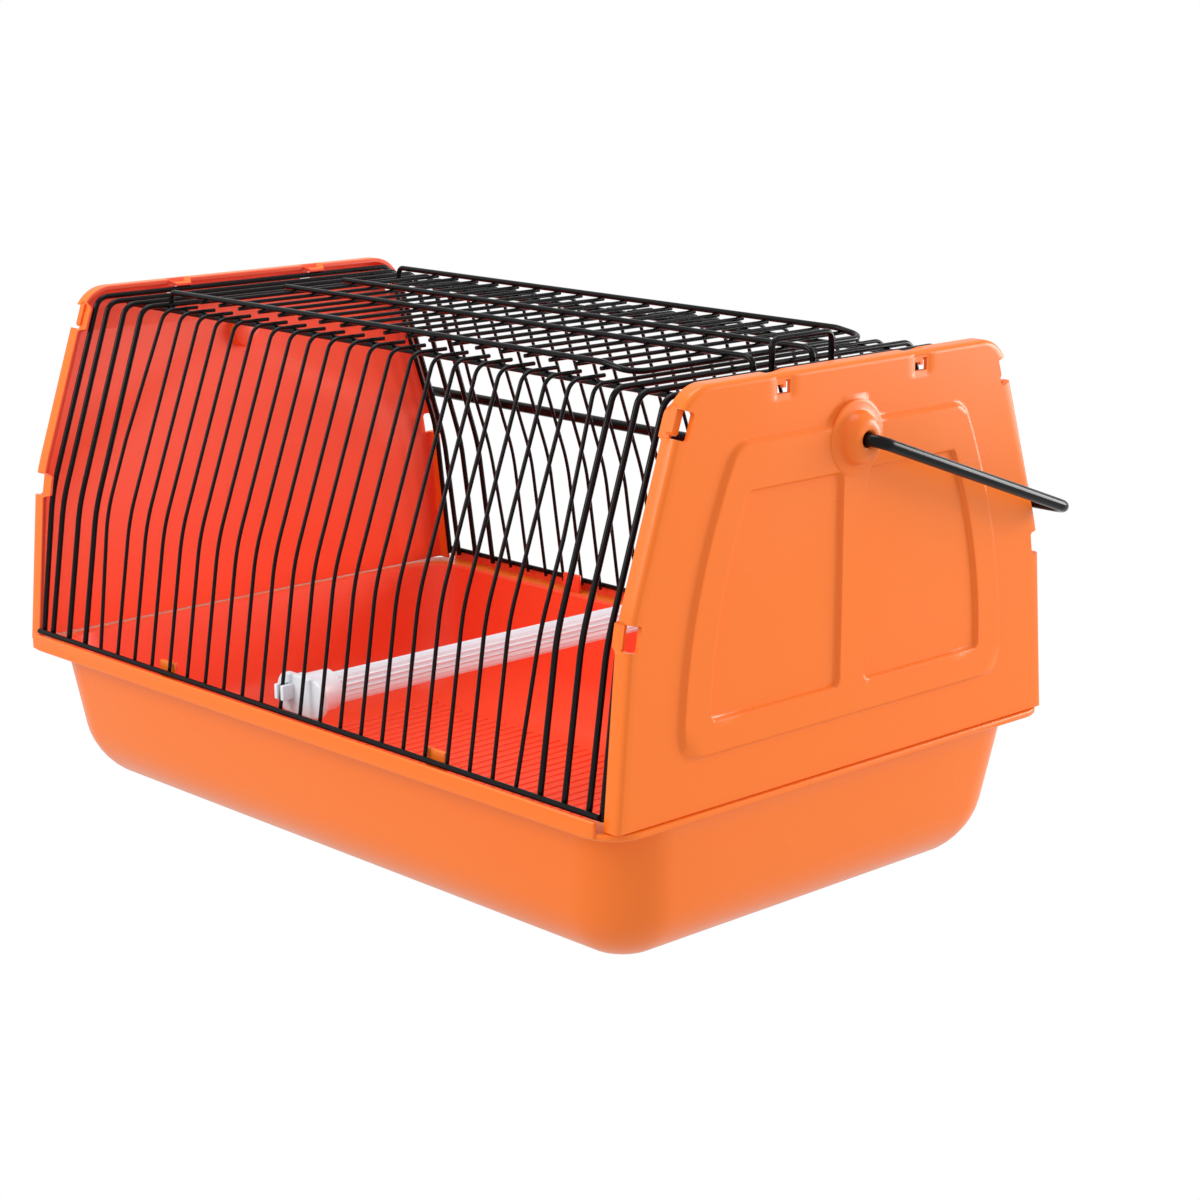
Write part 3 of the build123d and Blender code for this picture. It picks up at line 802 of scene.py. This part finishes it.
def solid_mesh(name, vertices, faces):
    """A closed mesh with its faces turned outwards."""
    mesh = bpy.data.meshes.new(name)
    mesh.from_pydata([tuple(v) for v in vertices], [], faces)
    build = bmesh.new()
    build.from_mesh(mesh)
    bmesh.ops.remove_doubles(build, verts=build.verts, dist=1e-6)
    bmesh.ops.recalc_face_normals(build, faces=build.faces)
    open_edges = sum(1 for e in build.edges if not e.is_manifold)
    build.to_mesh(mesh)
    build.free()
    print(name, len(mesh.polygons), "faces,", open_edges, "open edges")
    return mesh


panel_right = new_object("end_panel_right_shell", solid_mesh("end_panel_right_shell", *panel_shell()))

# %% [markdown]
# Holes are cut with boolean cutters: the clip windows through the panel's edge, the small angled slots
# near its top, and the bore for the handle. The boss is turned like a part on a lathe, from its profile,
# and so is the cover inside the panel, which hides the handle's end. Both are joined on before the bore is
# cut. The bore is blind: it stops inside the cover.

# %% Cut the clip windows and slots, add the boss, bore it
CLIP_CUT = 4.4 * MM
CLIP_ACROSS = {CLIP_UPPER_Z: 4.7 * MM, CLIP_LOWER_Z: 3.8 * MM}
HOOK_LOW_X = 144.6 * MM
HOOK_HIGH_X = 147.0 * MM
HOOK_RAISE = 1.0 * MM
HOOK_DEPTH = 1.9 * MM
HOOK_HALF = 1.3 * MM
BOX_CORNER = 0.7 * MM
SLOT_OUTLINE = [(-2.7, -6.0), (2.7, -6.0), (2.7, -2.2), (0.9, -2.2), (0.9, -4.4), (-0.3, -4.4),
                (-0.3, -3.4), (-2.7, -3.4)]
BORE = 2.5 * MM


def prism(points, low_x, high_x):
    """A closed prism along X from a plane outline in Y and Z."""
    count = len(points)
    vertices = [(x, y, z) for x in (low_x, high_x) for y, z in points]
    faces = [tuple(range(count)), tuple(range(count, 2 * count))]
    faces += [(i, (i + 1) % count, count + (i + 1) % count, count + i) for i in range(count)]
    return vertices, faces


def loft(rings):
    """A closed solid through rings of equal length, with an end face on the first and the last."""
    count = len(rings[0])
    vertices = [tuple(p) for ring in rings for p in ring]
    faces = []
    for start in range(0, len(vertices) - count, count):
        for i in range(count):
            j = (i + 1) % count
            faces.append((start + i, start + j, start + count + j, start + count + i))
    return vertices, faces + [tuple(range(count)), tuple(range(len(vertices) - count, len(vertices)))]


def circle(radius, steps):
    """Points round a circle, as pairs."""
    angles = [2 * math.pi * i / steps for i in range(steps)]
    return [(radius * math.cos(a), radius * math.sin(a)) for a in angles]


def turned(profile, centre, steps=48):
    """A closed solid of revolution about a line along X, from (radius, reach) pairs."""
    return loft([[(centre[0] + reach, centre[1] + y, centre[2] + z) for y, z in circle(radius, steps)]
                 for radius, reach in profile])


def rounded_box(middle_yz, along, reach, across):
    """The outline of a box across the panel's edge, its corners cut a little."""
    along = np.array(along)
    side = np.array([along[1], -along[0]])
    corners = []
    for a, b in ((1, 1), (1, -1), (-1, -1), (-1, 1)):
        near, far = (reach - BOX_CORNER, across), (reach, across - BOX_CORNER)
        for u, v in ((near, far) if a * b > 0 else (far, near)):
            corners.append(np.array(middle_yz) + a * u * along + b * v * side)
    return corners


def rim_at(height, sign, depth=0.0):
    """A point at a depth in from the panel's side edge, and the direction along the edge."""
    y = np.interp(height, OUTLINE[:, 1], OUTLINE[:, 0])
    n = unit(np.array([np.interp(height, OUTLINE[:, 1], OUTLINE_NORMALS[:, i]) for i in (0, 1)]))
    return (sign * (y - depth * n[0]), height - depth * n[1]), (-sign * n[1], n[0])


def hooks():
    """The tongues in the upper clips, which hold the frame wire down."""
    solids = []
    for sign in (-1, 1):
        box = rounded_box(*rim_at(CLIP_UPPER_Z + HOOK_RAISE, sign, HOOK_DEPTH), CLIP_UPPER_REACH, HOOK_HALF)
        solids.append(prism(box, HOOK_LOW_X, HOOK_HIGH_X))
    return solids


def clip_cutters():
    solids = []
    for sign in (-1, 1):
        for height, reach in ((CLIP_UPPER_Z, CLIP_UPPER_REACH), (CLIP_LOWER_Z, CLIP_LOWER_REACH)):
            box = rounded_box(*rim_at(height, sign), reach, CLIP_ACROSS[height])
            solids.append(prism(box, HALF - CLIP_CUT, HALF + 3 * MM))
        slot = [(sign * CLIP_TOP_Y + y * MM, PANEL_TOP[1] + z * MM) for y, z in SLOT_OUTLINE]
        solids.append(prism(slot, HALF - 3 * MM, HALF + 3 * MM))
    return solids


def carve(piece, solids, operation):
    """Joins solids into one cutter and applies it to a piece."""
    vertices, faces = [], []
    for more_vertices, more_faces in solids:
        faces += [tuple(i + len(vertices) for i in face) for face in more_faces]
        vertices += more_vertices
    tool = new_object("tool", solid_mesh("tool", vertices, faces))
    modifier = piece.modifiers.new(operation, "BOOLEAN")
    modifier.operation = operation
    modifier.solver = "MANIFOLD"
    modifier.object = tool
    plain_mesh(piece)
    bpy.data.objects.remove(tool)
    print(piece.name, operation, len(piece.data.polygons), "faces")


BOSS = [(11.4, -0.4), (11.4, 0.1), (11.1, 0.3), (10.5, 0.38), (8.8, 0.42), (8.3, 0.6), (8.0, 1.1),
        (7.75, 1.9), (7.3, 2.9), (6.6, 3.75), (5.8, 4.3), (4.9, 4.62), (4.0, 4.7), (0.5, 4.7)]
COVER = [(5.6, 0.6), (5.6, -2.4), (5.3, -3.1), (4.6, -3.5), (0.5, -3.5)]
MOUTH = BORE + 0.7 * MM
boss = turned([(r * MM, h * MM) for r, h in BOSS], (HALF + RAISE, 0, PIVOT_Z))
cover = turned([(r * MM, h * MM) for r, h in COVER], (HALF - SKIN, 0, PIVOT_Z))
bore = turned([(BORE, -4.2 * MM), (BORE, 5.6 * MM), (MOUTH, 6.05 * MM), (MOUTH, 9 * MM)],
              (HALF, 0, PIVOT_Z), 32)
for solids, operation in ((clip_cutters(), "DIFFERENCE"), (hooks(), "UNION"), ([boss], "UNION"),
                          ([cover], "UNION"), ([bore], "DIFFERENCE")):
    carve(panel_right, solids, operation)

# %% Give the shells their orange with painted shade on the inner faces, and mirror the panel to the left
FACING = 0.3
PANEL_HEART_Z = 105 * MM


def two_sided(piece, heart):
    """Gives a shell its orange, and the redder orange of painted shade and transmitted light where a face
    looks towards its heart.
    """
    mesh = piece.data
    mesh.materials.clear()
    mesh.materials.append(ORANGE)
    mesh.materials.append(ORANGE_PAINTED_SHADE)
    for face in mesh.polygons:
        # Faces looking towards the heart get the orange with painted shade.
        face.material_index = int(face.normal.dot((heart - face.center).normalized()) > FACING)
    shade(mesh, 32)


def mirrored_x(piece, name):
    """A copy mirrored in X with its faces still turned outwards."""
    mesh = piece.data.copy()
    mesh.name = name
    for vertex in mesh.vertices:
        vertex.co.x = -vertex.co.x
    mesh.flip_normals()
    return new_object(name, mesh)


panel_left = mirrored_x(panel_right, "end_panel_left_shell")
for panel, heart_x, node in ((panel_right, -HALF, "end_panel_right"), (panel_left, HALF, "end_panel_left")):
    two_sided(panel, Vector((heart_x, 0, PANEL_HEART_Z)))
    settle(panel, "cage", ORANGE, node)

# %% [markdown]
# ### The tray
#
# The tray is a tapered tub with a generous radius round its bottom, a flat ledge that carries the cage
# and an upright strip along its front and back that hides the bottom rods. Each level is a rounded
# rectangle with the same number of points, so the tub is a loft from the middle of its underside, up the
# outside, over the ledge and down the inside to the floor.

# %% Loft the tub
TRAY_FOOT = (140 * MM, 84.4 * MM)
TRAY_MOUTH = (148 * MM, 91.3 * MM)
TRAY_CORNER = 21 * MM
TRAY_FILLET = 20 * MM
WALL = 2 * MM
LEDGE = (151 * MM, 98.4 * MM)
LEDGE_Z = (47.6 * MM, 49.6 * MM)
LEDGE_CORNER = 12 * MM
LEDGE_SOFT = 0.4 * MM
CORNER_SIGNS = ((1, 1), (-1, 1), (-1, -1), (1, -1))
RUN_AFTER_CORNER = ((-1, 0), (0, -1), (1, 0), (0, 1))


def level(half_x, half_y, radius, z, steps=10):
    """A rounded rectangle at a height."""
    ring = []
    for quarter, (sx, sy) in enumerate(CORNER_SIGNS):
        cx, cy = sx * (half_x - radius), sy * (half_y - radius)
        for i in range(steps + 1):
            a = math.pi / 2 * (quarter + i / steps)
            ring.append((cx + radius * math.cos(a), cy + radius * math.sin(a), z))
        ring += side_stops(ring, (half_x, half_y), radius, quarter)
    return ring


def side_stops(ring, half, radius, quarter, count=6):
    """Points along the straight run that follows a corner, so that long faces stay well shaped."""
    x, y, z = ring[-1]
    along = RUN_AFTER_CORNER[quarter]
    length = 2 * (half[quarter % 2] - radius)
    return [(x + along[0] * length * i / count, y + along[1] * length * i / count, z)
            for i in range(1, count)]


def wall_at(z, inset):
    """Half sizes of the tapering wall at a height, moved in by an inset."""
    share = z / LEDGE_Z[1]
    return [foot + (mouth - foot) * share - inset for foot, mouth in zip(TRAY_FOOT, TRAY_MOUTH)]


def tub_levels(inset, floor, top):
    """Levels from the floor's edge round the fillet and up the wall."""
    fillet = TRAY_FILLET - inset
    levels = []
    for a in np.radians(np.linspace(0, 90, 11)):
        back = fillet * (1 - math.sin(a))
        z = floor + fillet * (1 - math.cos(a))
        x, y = wall_at(z, inset)
        levels.append(level(x - back, y - back, max(TRAY_CORNER - inset - back, 3 * MM), z))
    for z in np.linspace(floor + fillet, top, 5)[1:]:
        levels.append(level(*wall_at(z, inset), TRAY_CORNER - inset, z))
    return levels


def ledge_levels():
    """Out under the ledge, round its edge and back over it."""
    soft, (under_z, over_z) = LEDGE_SOFT, LEDGE_Z
    levels = [level(*wall_at(under_z, -0.5 * MM), TRAY_CORNER, under_z)]
    for inset, z in ((soft, under_z), (0, under_z + soft), (0, over_z - soft),
                     (soft * 0.3, over_z - soft * 0.3), (soft, over_z)):
        levels.append(level(LEDGE[0] - inset, LEDGE[1] - inset, LEDGE_CORNER - inset, z))
    levels.append(level(*wall_at(over_z, WALL - 1 * MM), TRAY_CORNER - WALL + 1 * MM, over_z))
    return levels


outer = tub_levels(0, 0, LEDGE_Z[0] - 0.8 * MM)
inner = tub_levels(WALL, WALL, LEDGE_Z[1] - 0.8 * MM)
rings = outer + ledge_levels() + inner[::-1]
tray = new_object("tray_shell", solid_mesh("tray_shell", *loft(rings)))

# %% Strips, tabs and floor ribs
def soft_box(size, place, radius, segments=3):
    """A box with rounded edges, as (vertices, faces)."""
    build = bmesh.new()
    bmesh.ops.create_cube(build, size=1)
    bmesh.ops.scale(build, vec=size, verts=build.verts)
    bmesh.ops.translate(build, vec=place, verts=build.verts)
    bmesh.ops.bevel(build, geom=build.edges[:], offset=radius, segments=segments, affect="EDGES", profile=0.5)
    build.verts.index_update()
    made = ([tuple(v.co) for v in build.verts], [tuple(v.index for v in f.verts) for f in build.faces])
    build.free()
    return made


STRIP_SKIN = 1.5 * MM
STRIP_TOP = 53.2 * MM
STRIP_HALF = 143.5 * MM
TAB = (9 * MM, 1.4 * MM, 7.2 * MM)
TAB_X = 69 * MM
TRAY_HEART_Z = 62 * MM
strip_z = (LEDGE_Z[0] + 0.3 * MM, STRIP_TOP)
additions = []
for side in (-1, 1):
    size = (2 * STRIP_HALF, STRIP_SKIN, strip_z[1] - strip_z[0])
    additions.append(soft_box(size, (0, side * (LEDGE[1] - STRIP_SKIN / 2), sum(strip_z) / 2), 0.6 * MM))
    tab_y = foot_y(THICK) - THICK / 2 - 0.35 * MM - TAB[1] / 2
    for x in (-TAB_X, TAB_X):
        additions.append(soft_box(TAB, (x, side * tab_y, LEDGE_Z[1] + TAB[2] / 2 - 0.2 * MM), 0.5 * MM))
carve(tray, additions, "UNION")
# The tray's inner faces get the orange with painted shade as well.
two_sided(tray, Vector((0, 0, TRAY_HEART_Z)))

# %% [markdown]
# The floor has low ribs across it, five millimetres apart. They are one rounded bar repeated in a row,
# which is what Geometry Nodes are for: the tree needs only the rib's size, the count and the spacing.

# %% Floor ribs
def row_tree():
    tree, inside, outside = geometry_tree("row_of_bars", {
        "Size": ("NodeSocketVector", (0.001, 0.1, 0.001)), "Copies": ("NodeSocketInt", 3),
        "Pitch": ("NodeSocketFloat", 0.005), "Material": ("NodeSocketMaterial", None)})
    given = inside.outputs
    tube = add(tree, "GeometryNodeMeshCylinder", {"Vertices": 12, "Radius": 0.5, "Depth": 1.0})
    lying = add(tree, "GeometryNodeTransform",
                {"Geometry": tube.outputs["Mesh"], "Rotation": (math.pi / 2, 0, 0)})
    sized = add(tree, "GeometryNodeTransform",
                {"Geometry": lying.outputs["Geometry"], "Scale": given["Size"]})
    place = add(tree, "GeometryNodeInputPosition").outputs["Position"]
    anchor = add(tree, "GeometryNodeSampleIndex", data_type="FLOAT_VECTOR", domain="POINT")
    tree.links.new(given["Geometry"], anchor.inputs["Geometry"])
    tree.links.new(place, anchor.inputs["Value"])
    moved = add(tree, "GeometryNodeSetPosition", {
        "Geometry": row_of_points(tree, inside), "Position": place, "Offset": anchor.outputs["Value"]})
    ribs = repeat(tree, moved.outputs["Geometry"], sized.outputs["Geometry"])
    return close_tree(tree, inside, outside, ribs)


RIB_PITCH = 5 * MM
RIB = (2.2 * MM, 2 * (TRAY_FOOT[1] - TRAY_FILLET - 2 * MM), 1.3 * MM)
rib_count = 2 * int((TRAY_FOOT[0] - TRAY_FILLET - 2 * MM) / RIB_PITCH) + 1
# The ribs get the orange with painted shade, like the tray's inner faces.
ribs = grow(sketch("floor_ribs", [(-RIB_PITCH * (rib_count - 1) / 2, 0, WALL)]), row_tree(), Size=RIB,
            Copies=rib_count, Pitch=RIB_PITCH, Material=ORANGE_PAINTED_SHADE)
shade(ribs.data, 60)
settle(tray, "tray", ORANGE, "base_tray")
settle(ribs, "tray", ORANGE, "base_tray")
print(rib_count, "ribs")

# %% [markdown]
# ## The perch
#
# The perch is a white tube with fine ribs along it, so that a bird's feet don't slip. A tube like this
# is extruded through a ribbed die, and a sweep does the same: the profile is a star with many shallow
# points. Its end caps are moulded: a cup over the tube, a rounded plate and two jaws that grip a bar.

# %% The ribbed tube
def ribbed_tree():
    tree, inside, outside = geometry_tree("ribbed_tube", {
        "Outer Radius": ("NodeSocketFloat", 0.005), "Groove Depth": ("NodeSocketFloat", 0.0003),
        "Ribs": ("NodeSocketInt", 30), "Material": ("NodeSocketMaterial", None)})
    given = inside.outputs
    path = add(tree, "GeometryNodeMeshToCurve", {"Mesh": given["Geometry"]})
    root = add(tree, "ShaderNodeMath", {0: given["Outer Radius"], 1: given["Groove Depth"]},
               operation="SUBTRACT")
    star = add(tree, "GeometryNodeCurveStar", {
        "Points": given["Ribs"], "Outer Radius": given["Outer Radius"], "Inner Radius": root.outputs[0]})
    return close_tree(tree, inside, outside, sweep(tree, path.outputs["Curve"], star.outputs["Curve"]))


low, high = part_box("perch_tube")
PERCH = middle("perch_tube")
line = sketch("perch", [(PERCH.x, low.y, PERCH.z), (PERCH.x, high.y, PERCH.z)], [(0, 1)])
perch = grow(line, ribbed_tree(), Outer_Radius=(high.z - low.z) / 2, Groove_Depth=0.75 * MM, Ribs=18,
             Material=WHITE)
perch.data.shade_flat()
settle(perch, "cage", WHITE, "perch_tube")

# %% The end caps
CAP_LENGTH = 10 * MM
CAP_RADIUS = 6.7 * MM
CAP_SIDES = 40
PLATE = (24 * MM, 2.4 * MM, 13 * MM)
JAW = (1.6 * MM, 4.6 * MM, 5 * MM)
GRIPPED_UPRIGHT = 13
GRIP_X = LEFT_FIRST + GRIPPED_UPRIGHT * PITCH


def cap_shell(side):
    """A cup, a rounded plate and two jaws, as separate solids to be joined."""
    end = high.y + 4 * MM
    profile = [(CAP_RADIUS - 0.5 * MM, end - CAP_LENGTH), (CAP_RADIUS, end - CAP_LENGTH + 0.5 * MM),
               (CAP_RADIUS, end - 1 * MM), (CAP_RADIUS + 0.6 * MM, end)]
    cup = loft([[(x, side * y, PERCH.z + z) for x, z in circle(r, CAP_SIDES)] for r, y in profile])
    plate_y = end - 0.2 * MM + PLATE[1] / 2
    outline = level(PLATE[0] / 2, PLATE[2] / 2, 5.5 * MM, 0, 8)
    slim = [(x * 0.955, z * 0.92) for x, z, _ in outline]
    wide = [(x, z) for x, z, _ in outline]
    half = PLATE[1] / 2
    rows = ((slim, -half), (wide, -half + 0.5 * MM), (wide, half - 0.5 * MM), (slim, half))
    plate = loft([[(x, side * (plate_y + dy), PERCH.z + z) for x, z in ring] for ring, dy in rows])
    jaw_x = THIN / 2 + 0.1 * MM + JAW[0] / 2
    jaw_y = side * (plate_y + half - 0.2 * MM + JAW[1] / 2)
    jaws = [soft_box(JAW, (GRIP_X + dx, jaw_y, PERCH.z + 1 * MM), 0.4 * MM) for dx in (-jaw_x, jaw_x)]
    return cup, [plate] + jaws


for side, label in ((-1, "front"), (1, "back")):
    cup, others = cap_shell(side)
    cap = new_object(f"perch_cap_{label}_shell", solid_mesh(f"cap_{label}", *cup))
    carve(cap, others, "UNION")
    cap.data.materials.clear()
    cap.data.materials.append(WHITE)
    shade(cap.data, 35)
    settle(cap, "cage", WHITE, f"perch_cap_{label}")

# %% [markdown]
# ## Welds
#
# Where two wires cross they are spot welded and then coated, and the coating fills the corner between
# them. A small flattened bead at each crossing shows that. There are hundreds, so each is only a few
# dozen faces, placed by Geometry Nodes on a cloud of points.

# %% Beads at the crossings
def bead_tree():
    tree, inside, outside = geometry_tree("weld_beads", {
        "Radius": ("NodeSocketFloat", 0.0008), "Unevenness": ("NodeSocketFloat", 0.15),
        "Seed": ("NodeSocketInt", 4), "Material": ("NodeSocketMaterial", None)})
    given = inside.outputs
    bead = add(tree, "GeometryNodeMeshUVSphere", {"Segments": 8, "Rings": 5, "Radius": given["Radius"]})
    least = add(tree, "ShaderNodeMath", {0: 1.0, 1: given["Unevenness"]}, operation="SUBTRACT")
    uneven = add(tree, "FunctionNodeRandomValue", {2: least.outputs[0], 3: 1.0, "Seed": given["Seed"]},
                 data_type="FLOAT")
    beads_made = repeat(tree, given["Geometry"], bead.outputs["Mesh"], Scale=uneven.outputs[1])
    return close_tree(tree, inside, outside, beads_made)


BEAD_TREE = bead_tree()


def beads(name, places, body, *nodes):
    made = grow(sketch(name, places), BEAD_TREE, Radius=0.85 * MM, Unevenness=0.2, Seed=7, Material=BLACK)
    made.data.shade_smooth()
    return settle(made, body, BLACK, *nodes)


upright_x = [LEFT_FIRST + PITCH * i for i in range(UPRIGHT_COUNT)]
roof_y = middle("roof_rod_back").y
roof_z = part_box("roof_rod_back")[1].z
cage_places = []
for side in (-1, 1):
    cage_places += [(x, side * (ROD[0] - THICK / 2), ROD[1]) for x in upright_x]
    cage_places += [(x, side * roof_y, roof_z) for x in upright_x]
beads("cage_welds", cage_places, "cage", "front_bars", "back_bars")
cross_x = [first + CROSS_PITCH * i for i in range(CROSS_COUNT)]
stay_y = middle("door_stay_back").y
door_places = [(x, y, DOOR_Z - THICK / 2)
               for x in cross_x for y in (-DOOR_HALF, -stay_y, stay_y, DOOR_HALF)]
beads("door_welds", door_places, "door", "door_cross_wires")
print(len(cage_places) + len(door_places), "welds")

# %% [markdown]
# ## Stage, light and camera
#
# The carrier stands in an even white studio. The floor glows at full white for the camera alone: it gives
# the carrier no light and shows no shadow. The world is also full white where the camera sees it, and
# WORLD_LIGHT is how strongly it lights the carrier. Three soft boxes, at the front, beyond the right end
# and above, shape the edges. The camera looks from the front right, a little above, with a moderately
# long lens.

# %% Floor and light
WORLD_LIGHT = 0.78
FLOOR_HALF = 60


def area_light(name, place, aim, size, power):
    data = bpy.data.lights.new(name, "AREA")
    data.shape = "RECTANGLE"
    data.size, data.size_y = size
    data.energy = power
    made = bpy.data.objects.new(name, data)
    made.location = place
    made.rotation_euler = (Vector(aim) - Vector(place)).to_track_quat("-Z", "Y").to_euler()
    bpy.context.scene.collection.objects.link(made)
    return made


floor_corners = [(x * FLOOR_HALF, y * FLOOR_HALF, 0) for x, y in ((-1, -1), (1, -1), (1, 1), (-1, 1))]
floor_mesh = bpy.data.meshes.new("floor")
floor_mesh.from_pydata(floor_corners, [], [(0, 1, 2, 3)])
floor = new_object("floor", floor_mesh)
floor_material = bpy.data.materials.new("white_floor")
floor_material.use_nodes = True
floor_tree = floor_material.node_tree
floor_glow = add(floor_tree, "ShaderNodeEmission", {"Strength": 1.0})
floor_tree.links.new(floor_glow.outputs["Emission"], floor_tree.nodes["Material Output"].inputs["Surface"])
floor.data.materials.append(floor_material)
floor.visible_diffuse = False
floor.visible_glossy = False

world = bpy.data.worlds.new("studio")
world.use_nodes = True
sky = world.node_tree.nodes["Background"]
sky.inputs["Color"].default_value = (1, 1, 1, 1)
seen = add(world.node_tree, "ShaderNodeLightPath")
strength = add(world.node_tree, "ShaderNodeMapRange",
               {"Value": seen.outputs["Is Camera Ray"], "To Min": WORLD_LIGHT, "To Max": 1.0})
world.node_tree.links.new(strength.outputs["Result"], sky.inputs["Strength"])
bpy.context.scene.world = world
area_light("front_box", place=(-0.5, -1.3, 0.9), aim=(0, 0, 0.1), size=(0.9, 0.7), power=10)
area_light("right_box", place=(0.75, 1.35, 0.3), aim=(0.1, 0, 0.1), size=(0.7, 0.7), power=16)
area_light("top_box", place=(-0.2, 0.1, 1.5), aim=(0, 0, 0), size=(0.9, 0.9), power=8)

# %% Camera
camera_data = bpy.data.cameras.new("camera")
camera_data.lens = 80.78
camera_data.sensor_width = 36
camera = bpy.data.objects.new("camera", camera_data)
camera.location = (0.6581, -0.5858, 0.2921)
aim = Vector((0.04292, 0, 0.08198))
camera.rotation_euler = (aim - camera.location).to_track_quat("-Z", "Y").to_euler()
bpy.context.scene.collection.objects.link(camera)
bpy.context.scene.camera = camera
bpy.context.scene.view_settings.view_transform = "Standard"
